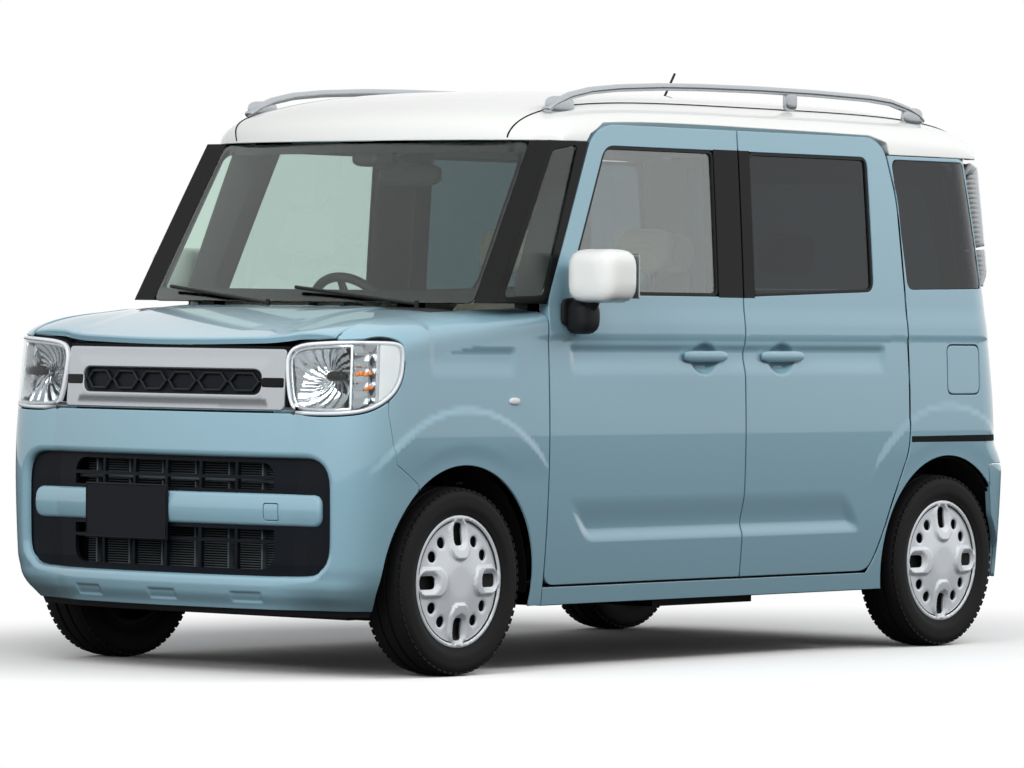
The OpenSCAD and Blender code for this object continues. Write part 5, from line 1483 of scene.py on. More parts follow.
@dataclass
class Doors:
    """Front and sliding doors, their panes, handles and mirrors."""

    low: float = 256.0
    high: float = 1645.0
    belt: float = 1127.0
    head: float = 1580.0
    front_length: float = 968.0
    rear_length: float = 872.0
    front_shares: tuple = ((0.33, 1), (0.247, 0.973), (0, 0.616))
    rear_shares: tuple = (
        (0.761, 0), (0.803, 0.026), (0.858, 0.093), (0.904, 0.162), (0.942, 0.207), (0.993, 0.277),
        (1, 0.334), (1, 0.449), (0.988, 0.625), (0.955, 0.857), (0.895, 0.975), (0.82, 1), (0, 1),
    )

    def rear_outline(self) -> list[tuple[float, float]]:
        """Corners of the sliding door.

        Returns:
            Points in the side view.
        """
        h = self.high - self.low
        return [(Skin.SLIDE_F, self.low)] + [
            (Skin.SLIDE_F - a * self.rear_length, self.low + b * h) for a, b in self.rear_shares
        ]

    def build(self) -> None:
        """Makes the pieces."""
        h = self.high - self.low
        edge = [(Skin.DOOR_F - a * self.front_length, self.low + b * h) for a, b in self.front_shares]
        rear, belt, head = Skin.DOOR_M, self.belt, self.head
        shape = [
            (Skin.DOOR_F, self.low), (rear, self.low), (rear, belt), (694, belt), (479, head), (rear, head),
            (rear, self.high), *edge
        ]
        front_skin = rounded(shape, 44, keep={1, 2, 5, 6})
        slide_f = Skin.SLIDE_F
        rear_shape = [*self.rear_outline(), (slide_f, head), (-877, head), (-886, belt + 22), (slide_f, belt)]
        rear_skin = rounded(rear_shape, 40, keep={0, 13, 14, 17})
        front_pane = rounded([(694, belt), (479, head), (-66, head), (-66, belt)], 30)
        rear_pane = rounded([(-244, belt), (-244, head), (-877, head), (-886, belt + 22)], 30)
        front_lining = [(760, 300), (760, 1080), (700, 1118), (-170, 1118), (-170, 300)]
        rear_lining = [(-210, 300), (-210, 1118), (-1020, 1118), (-1035, 720), (-880, 300)]
        front_bands = ((-200, 860, 710, 1000), (-200, 370, 720, 535))
        rear_bands = ((-960, 860, -180, 1000), (-860, 370, -180, 535))
        for side, word in SIDES:
            body = f"door_{word}"
            nodes = [f"front_door_{word}"], [f"sliding_door_{word}"]
            self.skin(front_skin, f"front_door_skin_{word}", side, body, nodes[0], front_bands, 14)
            self.skin(rear_skin, f"sliding_door_skin_{word}", side, "body", nodes[1], rear_bands, -384)
            for name, on, post, pane, lining, finish in (
                ("front_door", body, (rear, -62), front_pane, front_lining, Finishes.SIDE),
                ("sliding_door", "body", (-248, slide_f), rear_pane, rear_lining, Finishes.PRIVACY),
            ):
                def lay(what: str, solid: Solid, coat: Finish, nodes: Sequence[str] = ()) -> None:
                    piece(f"{name}_{what}_{word}", on_side(solid, side), coat, on, nodes)

                lay(
                    "post",
                    pressing(box2(*post, belt - 4, head + 4), side_skin(0.4), step=20, edge=2, wall=30),
                    Finishes.GLOSS
                )
                lay(
                    "pane", pressing(pane, side_skin(-9), step=40, edge=1, wall=4), finish,
                    [f"door_glass_{word}"] if on != "body" else []
                )
                lay(
                    "seal",
                    pressing(pane, side_skin(-3), [inset(pane, 11)], step=30, edge=2, wall=7, hole_edge=2),
                    Finishes.PLASTIC
                )
                lay("lining", pressing(lining, side_skin(-37), step=40, edge=8, wall=16), Finishes.TRIM)
            self.mirror(side, word)

    @staticmethod
    def mirror(side: int, word: str) -> None:
        """Makes one door mirror.

        Args:
            side: One for the left, minus one for the right.
            word: Name of the side.
        """
        cap = pebble((603, 752, 1102), (752, 938, 1264), 4.2, 40)
        foot = pebble((624, 716, 1008), (716, 812, 1112), 3.0, 28).joined(
            tube([(672, 770, 1060), (672, 800, 1110)], 26)
        )
        plate = pebble((560, 728, 1030), (735, 744, 1118), 5.0, 28)
        glass = block((597, 782, 1116), (603, 926, 1250), 2.5)
        for name, solid, finish, nodes in (
            ("cap", cap, Finishes.IVORY, [f"mirror_{word}"]),
            ("foot", foot.joined(plate), Finishes.PLASTIC, []),
            ("glass", glass, Finishes.CHROME, []),
        ):
            piece(f"mirror_{name}_{word}", on_side(solid, side), finish, f"door_{word}", nodes)

    def skin(
        self, line: Sequence, name: str, side: int, body: str, nodes: Sequence[str], fine: Iterable[tuple],
        cup: float
    ) -> None:
        """Presses a door's skin with its handle cup and bar.

        Args:
            line: Outline.
            name: Name of the piece.
            side: One for the left, minus one for the right.
            body: Body it rides on.
            nodes: Nodes it stands for.
            fine: Boxes with small faces.
            cup: Place of the handle's middle.
        """

        def shape(uv: Array) -> Array:
            p = Skin.side(uv)
            near = np.hypot((uv[:, 0] - cup) / 74, (uv[:, 1] - 934) / 54)
            p[:, 1] -= 17 * soft((1 - near) / 0.45)
            return p

        solid = pressing(line, shape, step=15, fine=fine, fine_step=7, edge=2.5, wall=34)
        xs = np.linspace(cup - 106, cup + 106, 25)
        bow = np.abs(xs - cup) / 106
        path = [(x, float(Skin.side_at(x, 942)) - 2 + 5 * (1 - b**4), 942) for x, b in zip(xs, bow)]
        bar = tube(path, [(6 + 3 * (1 - b**6), 11 + 6 * (1 - b**8)) for b in bow], 24)
        piece(name, on_side(solid.joined(bar), side), Finishes.PAINT, body, nodes)


@dataclass
class SidePanels:
    """Rear quarters with sills, pillars, panes, windscreen and fuel lid."""

    quarter: tuple = ((-1072, 1158), (-1008, 1576), (-1426, 1576), (-1511, 1165))
    pillar: tuple = ((787.5, 1098), (1037.8, 1098), (741.3, 1589.5), (558.1, 1589.5))
    pillar_pane: tuple = ((804.5, 1122.6), (990.6, 1116.7), (731.6, 1560), (612.5, 1577))
    lid: tuple = (-1458.5, -1282.5, 822, 978)
    lining_r: float = 338.0
    lining_y: float = 520.0

    def build(self) -> None:
        """Makes the pieces."""
        grown = inset(Doors().rear_outline(), -6)
        low = [(787, 196), (787, 250), *grown[1:11], (-985.5, 1589)]
        line = REAR.side_line(rounded(low, 34, keep={0, 1, 2, len(low) - 1}))
        line += [(754.3, 1589), (754.3, 1169), (600, 1169), (600, 592)]
        line += REAR.side_line([(-1514, 592), (-1547, 425), *arc(Skin.AXLE_R, Skin.ARCH_R, 172, -14, 48)])
        pane = REAR.side_line(rounded(self.quarter, 30))
        x0, x1, z0, z1 = self.lid
        lid = REAR.side_line(box2(x0, x1, z0, z1, 26))
        lid_hole = REAR.side_line(box2(x0 - 4, x1 + 4, z0 - 4, z1 + 4, 28))
        # The rail slot is drawn as a flat black strip on the skin: painted shade for the inside of the slot.
        groove = REAR.side_line(((-1070, 665), (-1070, 687))) + [(700, 689), (690, 677), (700, 663)]
        corner_pane = rounded(self.pillar_pane, 22)
        for side, word in SIDES:
            def lay(what: str, solid: Solid, finish: Finish, nodes: Sequence[str] = ()) -> None:
                piece(f"{what}_{word}", on_side(solid, side), finish, nodes=nodes)

            holes = [pane, lid_hole] if side > 0 else [pane]
            quarter = pressing(line, REAR.skin(0.9, True), holes, step=15, edge=2.5, wall=3.6, hole_edge=2.5)
            lay("rear_quarter", quarter, Finishes.PAINT)
            glass = pressing(pane, REAR.skin(-1.5), step=40, edge=2, wall=4)
            lay("quarter_pane", glass, Finishes.PRIVACY, ["side_glass"] if side > 0 else [])
            pillar = pressing(
                self.pillar, side_skin(0.8), [corner_pane], step=18, edge=3, wall=5, hole_edge=3
            )
            lay("pillar_skin", pillar, Finishes.GLOSS)
            lay("pillar_pane", pressing(corner_pane, side_skin(-4), step=40, edge=1, wall=4), Finishes.GLASS)
            lay("slide_rail_slot_shade", pressing(groove, REAR.skin(1.3, True), step=18, edge=3, wall=4), Finishes.LINER_AND_SHADE)
        self.arches()
        piece(
            "fuel_lid_skin", pressing(lid, REAR.skin(1.0, True), step=15, edge=2.5, wall=5), Finishes.PAINT,
            "fuel_lid"
        )
        self.screen()

    def arches(self) -> None:
        """Makes the linings and inner walls of the rear wheel arches."""
        r, inner_y, axle, hub = self.lining_r, self.lining_y, Skin.AXLE_R, Skin.HUB_Z

        def tunnel(uv: Array) -> Array:
            a = uv[:, 0] / r
            return np.stack([axle + r * np.cos(a), uv[:, 1], hub + r * np.sin(a)], 1)

        def upright(uv: Array) -> Array:
            return np.stack([uv[:, 0], np.full(len(uv), inner_y + 1), uv[:, 1]], 1)

        rim = []
        for a in np.linspace(3.3, -0.2, 30):
            x, z = axle + r * math.cos(a), hub + r * math.sin(a)
            rim.append((r * a, float(Skin.side_at(x, z)) - 12))
        sheet = [(-68, inner_y), (1115, inner_y), *rim]
        lining = pressing(sheet, tunnel, step=30, edge=1, wall=3, core=(axle, 600, hub))
        piece("rear_arch_linings", both(lining), Finishes.LINER_AND_SHADE)
        ring = [*arc(axle, r - 1, 191, -11, 40), *arc(axle, 215, -11, 191, 40)]
        wall = pressing(ring, upright, step=30, edge=1, wall=3, core=(axle, 0, hub))
        piece("rear_arch_walls", both(wall), Finishes.LINER_AND_SHADE)

    @staticmethod
    def screen() -> None:
        """Makes the windscreen and its black edge."""

        def skin(out: float) -> SkinMap:
            def put(uv: Array) -> Array:
                k, z = uv[:, 0] / 640, uv[:, 1]
                lean = 0.515 - 0.61 * (z - 1098) / 492
                return np.stack(
                    [787.5 + 486 * lean + 70 * (1 - k**2) + out, k * (Skin.side_half(z) - 80.5), z], 1
                )

            return put

        outline = rounded([(-639, 1098), (639, 1098), (639, 1584), (-639, 1584)], 26)
        hole = rounded([(-624, 1134), (624, 1134), (622, 1552), (-622, 1552)], 40)
        piece(
            "windscreen_pane", pressing(outline, skin(0), step=40, edge=1.5, wall=5), Finishes.GLASS,
            nodes=["windscreen"]
        )
        piece(
            "windscreen_edge", pressing(outline, skin(-6), [hole], step=30, edge=1, wall=2, hole_edge=0.8),
            Finishes.GLOSS
        )


@dataclass
class Rear:
    """Tailgate, tail lamps and rear bumper."""

    def build(self) -> None:
        """Makes the pieces."""
        low_arch = reversed(arc(Skin.AXLE_R, Skin.ARCH_R, 173.5, 190.5, 8))
        side = REAR.side_line([*low_arch, (-1550, 423), (-1518, 588)])
        line = side + [(-u, z) for u, z in reversed(side)]
        recess = REAR.end_line(box2(-480, 480, 300, 352, 20))

        def bumper(uv: Array) -> Array:
            p = REAR.skin(0.8)(uv)
            k, z = np.abs(uv[:, 0]), uv[:, 1]
            p[:, 0] -= 9 * soft((z - 470) / 30) * soft((582 - z) / 14) * soft((700 - k) / 60)
            return p

        piece(
            "rear_bumper_skin", pressing(line, bumper, [recess], step=15, edge=3, wall=22, hole_edge=6),
            Finishes.PAINT, nodes=["rear_bumper"]
        )
        piece(
            "rear_bumper_inlay", pressing(recess, REAR.skin(-8), step=20, edge=1, wall=12), Finishes.PLASTIC
        )
        reflector = REAR.end_line(box2(500, 590, 316, 346, 10))
        piece(
            "rear_reflectors", both(pressing(reflector, REAR.skin(4), step=15, edge=3, wall=5)), Finishes.RED
        )
        gate = box2(-597, 597, 596, 1578, 30)
        hole = rounded([(-500, 1160), (500, 1160), (470, 1516), (-470, 1516)], 60)

        def shape(uv: Array) -> Array:
            p = REAR.skin(0.8)(uv)
            k, z = np.abs(uv[:, 0]), uv[:, 1]
            plate_bed = soft(np.minimum((205 - k) / 22, np.minimum((z - 690) / 22, (894 - z) / 22)))
            p[:, 0] += 14 * plate_bed - 5 * soft((z - 1010) / 50) * soft((1120 - z) / 40)
            return p

        bed = ((-240, 670, 240, 915),)
        gate_skin = pressing(
            gate, shape, [hole], step=15, fine=bed, fine_step=8, edge=4, wall=26, hole_edge=4
        )
        piece("tailgate_skin", gate_skin, Finishes.PAINT, "tailgate", ["tailgate"])
        pane = pressing(inset(hole, 1), REAR.skin(-3), step=40, edge=1, wall=4)
        piece("tailgate_pane", pane, Finishes.PRIVACY, "tailgate", ["tailgate_glass"])
        x = float(Skin.tail_at(790))
        blank = block((x - 1, -165, 707), (x + 9, 165, 872), 4)
        piece("rear_plate", blank, Finishes.PLATE, "tailgate")
        bar = pebble((x - 12, -230, 902), (x + 16, 230, 946), 5, 30)
        piece("tailgate_grip", bar, Finishes.SATIN, "tailgate")
        route = ((0, 1120), (40, 1180), (150, 1205), (330, 1212))
        arm = tube([(float(Skin.tail_at(z)) - 6, y, z) for y, z in route], 6)
        x = float(Skin.tail_at(1120))
        pivot = pebble((x - 22, -26, 1096), (x + 10, 26, 1146), 3, 20)
        piece("rear_wiper", arm.joined(pivot), Finishes.PLASTIC, "tailgate")
        self.lamps()

    @staticmethod
    def lamps() -> None:
        """Makes the tail lamps and the panels behind them."""

        def lens(uv: Array) -> Array:
            out, z = REAR.skin(7)(uv), uv[:, 1]
            lean = 0.55 * (Skin.tail_at(z) - Skin.TAIL)
            lean = lean * soft((z - 1165) / 60) * soft((1590 - z) / 30)
            out[:, 0] += 3 * np.abs(((z / 16) % 1) - 0.5) - lean
            return out

        lamps = Solid()
        reds = Solid()
        for z0, z1 in ((1172, 1296), (1306, 1582)):
            lamps = lamps.joined(pressing(box2(664, 752, z0, z1, 10), lens, step=8, edge=4, wall=64))
            reds = reds.joined(pressing(box2(609, 661, z0, z1, 10), lens, step=8, edge=4, wall=64))
        back = pressing(box2(545, 800, 1140, 1600, 8), REAR.skin(-74), step=30, edge=1, wall=4)
        header = pressing(box2(0, 640, 1572, 1604, 4), REAR.skin(-70), step=40, edge=1, wall=4)
        piece("rear_inner_panels", both(back.joined(header)), Finishes.TRIM)
        piece("tail_lamp_lenses", both(lamps), Finishes.MILK, nodes=["tail_lamps"])
        piece("tail_lamp_reds", both(reds), Finishes.RED)


@dataclass
class Details:
    """Roof rails, inner mirror and side markers."""

    def build(self) -> None:
        """Makes the pieces."""
        path = (
            (652, 1684), (610, 1706), (540, 1730), (440, 1749), (300, 1762), (90, 1773), (-112, 1778),
            (-400, 1781), (-700, 1780), (-1000, 1774), (-1120, 1766), (-1220, 1746),
            (-1276, 1728), (-1302, 1710),
        )
        fine = np.linspace(0, len(path) - 1, 80)
        xz = np.array([[np.interp(t, range(len(path)), [p[i] for p in path]) for i in (0, 1)] for t in fine])
        rail = tube([(x, 600, z) for x, z in xz], [(15, 12)] * 80, 24)
        feet = [
            pebble((520, 586, 1668), (652, 614, 1728), 3, 24),
            pebble((-613, 588, 1720), (-553, 612, 1784), 4, 24),
            pebble((-1304, 586, 1690), (-1196, 614, 1752), 3, 24),
        ]
        piece("roof_rail_bars", both(rail.joined(*feet)), Finishes.SATIN, nodes=["roof_rails"])
        mirror = pebble((548, -120, 1458), (592, 120, 1526), 4, 30)
        stalk = tube([(585, 0, 1510), (660, 0, 1560)], 9)
        sensor = pebble((700, -55, 1512), (800, 55, 1572), 4, 24)
        piece("screen_mirror", mirror.joined(stalk, sensor), Finishes.DASH)
        y = float(Skin.side_at(952, 808))
        piece("side_markers", both(pebble((928, y - 6, 797), (976, y + 7, 819), 2.4, 28)), Finishes.MILK)


@dataclass
class Wheels:
    """Tyres, wheel covers and the rims behind them."""

    front_y: float = 647.5
    rear_y: float = 650.0
    cover_r: float = 197.0
    lug_at: float = 123.5
    hole_at: float = 138.0
    hole_turn: float = 12.0
    hole_r: float = 16.0
    lugs_at: float = 59.0

    def build(self) -> None:
        """Makes the pieces."""
        side = [
            (64, 179), (66, 199), (69.5, 202), (72.5, 212), (75.2, 216), (76.2, 226), (77, 236), (75.6, 246),
            (75.9, 251), (72, 262), (66, 269.5), (58.5, 274), (48, 277)
        ]
        tread = [(32, 278.2), (25, 278.3), (23.5, 272), (16.5, 272), (15, 278.3)]
        outer = side + tread
        tyre = lathe(outer + [(-y, r) for y, r in reversed(outer)], 120, 32)
        cover = self.cover()
        rim = lathe(
            [
                (60, 190), (64, 190), (64, 196), (60, 198), (54, 178), (-60, 178), (-60, 166), (20, 160),
                (28, 0), (40, 0), (40, 160), (50, 172)
            ],
            72
        )
        lugs = repeated("tread_blocks", "ring", 66, (6.0, 17.0, 22.0), 270.0)
        for x, y, end in ((Skin.AXLE_F, self.front_y, "front"), (Skin.AXLE_R, self.rear_y, "rear")):
            for sign, word in SIDES:
                body = f"wheel_{end}_{word}"
                move = Matrix.Translation((x, sign * y, Skin.HUB_Z))
                for name, solid, finish, nodes in (
                    ("tyre", tyre, Finishes.RUBBER, [f"tyre_{end}_{word}"]),
                    ("cover", cover, Finishes.COVER, [f"wheel_{end}_{word}"]),
                    ("rim", rim, Finishes.STEEL, []),
                ):
                    piece(
                        f"{name}_{end}_{word}_looks", on_side(solid, sign).turned(move), finish, body, nodes
                    )
                for shift, edge in ((self.lugs_at, "outer"), (-self.lugs_at, "inner")):
                    mesh = lugs.copy()
                    spot = Matrix.Translation((x * MM, (sign * y + shift) * MM, Skin.HUB_Z * MM))
                    mesh.transform(spot @ Matrix.Rotation(math.pi / 2, 4, "X"))
                    place(bpy.data.objects.new(f"tread_{edge}_{end}_{word}", mesh), Finishes.RUBBER, body)

    def cover(self) -> Solid:
        """Presses the dished cover with its four lugs, slots and holes.

        Returns:
            The left cover about the wheel's middle.
        """

        def circle(x: float, z: float, r: float, n: int) -> list[tuple[float, float]]:
            return [
                (x + r * math.cos(a), z + r * math.sin(a))
                for a in np.linspace(0, 2 * math.pi, n, endpoint=False)
            ]

        def turn(a: float, p: float, q: float) -> tuple[float, float]:
            c, s = math.cos(math.radians(a)), math.sin(math.radians(a))
            return p * c - q * s, p * s + q * c

        slots = [[turn(a, p, q) for p, q in box2(107, 173, -19.5, 19.5, 17)] for a in (0, 90, 180, 270)]
        round_holes = []
        for a in (45, 135, 225, 315):
            for t in (-self.hole_turn, self.hole_turn):
                round_holes.append(circle(*turn(a + t, self.hole_at, 0), self.hole_r, 20))

        def skin(uv: Array) -> Array:
            x, z = uv[:, 0], uv[:, 1]
            r = np.hypot(x, z)
            y = 74 - 14 * soft((r - 40) / 120) + 8 * soft((r - 178) / 9) - 3 * soft((r - 191) / 6)
            for a in (0, 90, 180, 270):
                c, s = math.cos(math.radians(a)), math.sin(math.radians(a))
                p, q = x * c + z * s - self.lug_at, -x * s + z * c
                ring = np.hypot(np.maximum(np.abs(p) - 22, 0), np.maximum(np.abs(q) - 5, 0)) - 41
                slot = np.hypot(np.maximum(np.abs(p - 16.5) - 16, 0), np.maximum(np.abs(q) - 3, 0)) - 17
                y = y + 10 * soft(-ring / 7) - 12 * soft((13 - slot) / 13)
            for hole in round_holes:
                m = np.mean(hole, 0)
                y = y - 3 * soft((23 - np.hypot(x - m[0], z - m[1])) / 9)
            return np.stack([x, y, z], 1)

        return pressing(
            circle(0, 0, self.cover_r, 120), skin, slots + round_holes, step=6, edge=2.5, wall=9,
            hole_edge=1.5, core=(0, -500, 0)
        )


def repeated(
    name: str, way: str, count: int, size: tuple[float, float, float], step: float
) -> bpy.types.Mesh:
    """Repeats a block in a ring about Z or in a row along Z, with Geometry Nodes.

    Args:
        name: Name of the mesh.
        way: Either ring or row.
        count: Number of blocks.
        size: Size of a block in millimetres.
        step: Radius of the ring, or distance in the row.

    Returns:
        A plain mesh in metres.
    """
    tree = bpy.data.node_groups.new(f"{name}_{way}", "GeometryNodeTree")
    sockets = {}
    for label, kind in (
        ("Count", "NodeSocketInt"), ("Step", "NodeSocketFloat"), ("Size", "NodeSocketVector"),
        ("Finish", "NodeSocketMaterial")
    ):
        sockets[label] = tree.interface.new_socket(name=label, in_out="INPUT", socket_type=kind).identifier
    tree.interface.new_socket(name="Geometry", in_out="OUTPUT", socket_type="NodeSocketGeometry")
    feed = add_node(tree, "NodeGroupInput").outputs
    cube = add_node(tree, "GeometryNodeMeshCube", None, None, {"Size": feed["Size"]})
    index = add_node(tree, "GeometryNodeInputIndex")
    if way == "ring":
        points = add_node(
            tree, "GeometryNodeMeshCircle", None, None, {"Vertices": feed["Count"], "Radius": feed["Step"]}
        )
        part = add_node(
            tree, "ShaderNodeMath", {"operation": "DIVIDE"}, None, {0: index.outputs[0], 1: feed["Count"]}
        )
        angle = add_node(
            tree, "ShaderNodeMath", {"operation": "MULTIPLY"}, {1: 2 * math.pi}, {0: part.outputs[0]}
        )
        turn = add_node(tree, "ShaderNodeCombineXYZ", None, None, {"Z": angle.outputs[0]})
        links = {
            "Points": points.outputs["Mesh"], "Instance": cube.outputs["Mesh"], "Rotation": turn.outputs[0]
        }
    else:
        rise = add_node(tree, "ShaderNodeCombineXYZ", None, None, {"Z": feed["Step"]})
        points = add_node(
            tree, "GeometryNodeMeshLine", None, None, {"Count": feed["Count"], "Offset": rise.outputs[0]}
        )
        links = {"Points": points.outputs["Mesh"], "Instance": cube.outputs["Mesh"]}
    put = add_node(tree, "GeometryNodeInstanceOnPoints", None, None, links)
    real = add_node(tree, "GeometryNodeRealizeInstances", None, None, {"Geometry": put.outputs["Instances"]})
    dressed = add_node(
        tree, "GeometryNodeSetMaterial", None, None,
        {"Geometry": real.outputs["Geometry"], "Material": feed["Finish"]}
    )
    add_node(tree, "NodeGroupOutput", None, None, {"Geometry": dressed.outputs["Geometry"]})
    obj = bpy.data.objects.new(name, bpy.data.meshes.new(name))
    bpy.context.scene.collection.objects.link(obj)
    modifier = obj.modifiers.new("repeat", "NODES")
    modifier.node_group = tree
    for label, value in (
        ("Count", count), ("Step", step * MM), ("Size", [v * MM for v in size]),
        ("Finish", material(Finishes.PLASTIC))
    ):
        modifier[sockets[label]] = value
    mesh = baked(obj)
    bpy.data.objects.remove(obj)
    return mesh


@dataclass
class Seats:
    """Cloth seats, padded by simulation, and the steering wheel."""

    swell: float = 24.0
    voxel: float = 13.0
    lean: float = -12.4
    pressure: float = 4.0
    frames: int = 20
    channel_share: float = 0.27
    channel_w: float = 8.0
    channel_deep: float = 9.0

    def build(self) -> None:
        """Makes the pieces."""
        lean = Matrix.Rotation(math.radians(self.lean), 4, "Y")
        for name, x, w, ys, node in (
            ("front_seat", -90.0, 468.0, (275.0, -275.0), "front_seats"),
            ("rear_seat", -880.0, 980.0, (0.0,), "rear_seat"),
        ):
            cushion = pebble((x - 36, -w / 2 + 14, 512), (x + 486, w / 2 - 14, 606), 6, 40)
            back = pebble((-44, -w / 2 + 14, 12), (44, w / 2 - 14, 590), 6, 40)
            back = back.turned(Matrix.Translation((x - 8, 0, 560)) @ lean)
            forms = [("cushion", cushion, (0.0, 1.0)), ("back", back, (1.0, 0.0))]
            for k, at in enumerate((0.0,) if len(ys) == 2 else (-250.0, 250.0)):
                rest = pebble((-30, at - 112, 8), (30, at + 112, 150), 4, 28)
                rest = rest.turned(Matrix.Translation((x - 142, 0, 1194)) @ lean)
                forms.append((f"headrest_{k}", rest, (0.0, 0.0)))
            for what, solid, way in forms:
                mesh = self.padded(f"{name}_{what}", solid, way, w)
                for k, y in enumerate(ys):
                    copy = mesh.copy()
                    copy.transform(Matrix.Translation((0, y * MM, 0)))
                    pad = bpy.data.objects.new(f"{name}_{what}_{k}", copy)
                    place(pad, Finishes.CLOTH, "body", [node] if what == "cushion" and k == 0 else [])
            legs = Solid()
            for y in ys:
                for part in (-1, 1):
                    leg_y, rod_y = y + part * w / 3, y + part * 56
                    leg = block((x + 20, leg_y - 14, 231), (x + 390, leg_y + 14, 500), 6)
                    rod = tube([(x - 132, rod_y, 1130), (x - 150, rod_y, 1210)], 6)
                    legs = legs.joined(leg, rod)
            piece(f"{name}_frame", legs, Finishes.STEEL)
        self.wheel()

    def padded(self, name: str, solid: Solid, way: tuple[float, float], w: float) -> bpy.types.Mesh:
        """Swells a pad under a little pressure and sews its channels.

        Args:
            name: Name of the pad.
            solid: Its start.
            way: Direction of the channels' depth, along the car and up.
            w: Width of the seat.

        Returns:
            The finished mesh.
        """
        points = np.concatenate(solid.points) * MM
        mesh = bpy.data.meshes.new(name)
        mesh.from_pydata(points.tolist(), [], [row for f in solid.faces for row in f.tolist()])
        obj = bpy.data.objects.new(f"{name}_pad", mesh)
        scene = bpy.context.scene
        scene.collection.objects.link(obj)
        remesh = obj.modifiers.new("even", "REMESH")
        remesh.mode, remesh.voxel_size = "VOXEL", self.voxel * MM
        mesh = baked(obj)
        obj.modifiers.clear()
        obj.data = mesh
        start = np.array([v.co for v in mesh.vertices])
        cloth = obj.modifiers.new("cloth", "CLOTH")
        cloth.settings.use_pressure = True
        cloth.settings.uniform_pressure_force = self.pressure
        cloth.settings.effector_weights.gravity = 0.0
        for step in range(1, self.frames + 1):
            scene.frame_set(step)
        swollen = baked(obj)
        moved = np.array([v.co for v in swollen.vertices]) - start
        far = np.linalg.norm(moved, axis=1, keepdims=True)
        done = start + moved * np.minimum(1, self.swell * MM / np.maximum(far, 1e-9))
        obj.modifiers.clear()
        scene.frame_set(1)
        mesh.vertices.foreach_set("co", done.ravel())
        smooth = obj.modifiers.new("smooth", "SUBSURF")
        smooth.levels = smooth.render_levels = 1
        mesh = baked(obj)
        bpy.data.objects.remove(obj)
        co = np.array([v.co for v in mesh.vertices])
        if way != (0.0, 0.0):
            into = np.array([way[0], 0, way[1]])
            at = self.channel_share * w * MM
            depth = sum(np.exp(-(((co[:, 1] - y) / (self.channel_w * MM)) ** 2)) for y in (-at, at))
            face = soft((np.array([v.normal for v in mesh.vertices]) @ into - 0.4) / 0.4)
            co = co - (depth * face * self.channel_deep * MM)[:, None] * into
            mesh.vertices.foreach_set("co", co.ravel())
        mesh.polygons.foreach_set("use_smooth", np.ones(len(mesh.polygons), bool))
        mesh.update()
        return mesh

    @staticmethod
    def wheel() -> None:
        """Makes the steering wheel about its column."""
        a = np.linspace(0, 2 * math.pi, 96, endpoint=False)
        ring = tube([(165 * math.cos(t), 165 * math.sin(t), 0) for t in a], 15, 20, True)
        boss = pebble((-62, -72, -22), (62, 72, 26), 3.5, 30)
        tips = [(150 * math.cos(t), 150 * math.sin(t), 0) for t in (math.pi / 2, -math.pi / 2, math.pi)]
        arms = [tube([(0, 0, -4), tip], [(20, 8), (15, 7)]) for tip in tips]
        column = tube([(0, 0, -20), (0, 0, -260)], 32)
        # The column's axis leans back and up toward the driver
        turn = Vector((-0.882948, 0, 0.469472)).to_track_quat("Z", "Y").to_matrix().to_4x4()
        wheel = ring.joined(boss, *arms, column).turned(Matrix.Translation((440, -330, 1030)) @ turn)
        piece("steering_wheel_rim", wheel, Finishes.DASH, "steering_wheel", ["steering_wheel"])


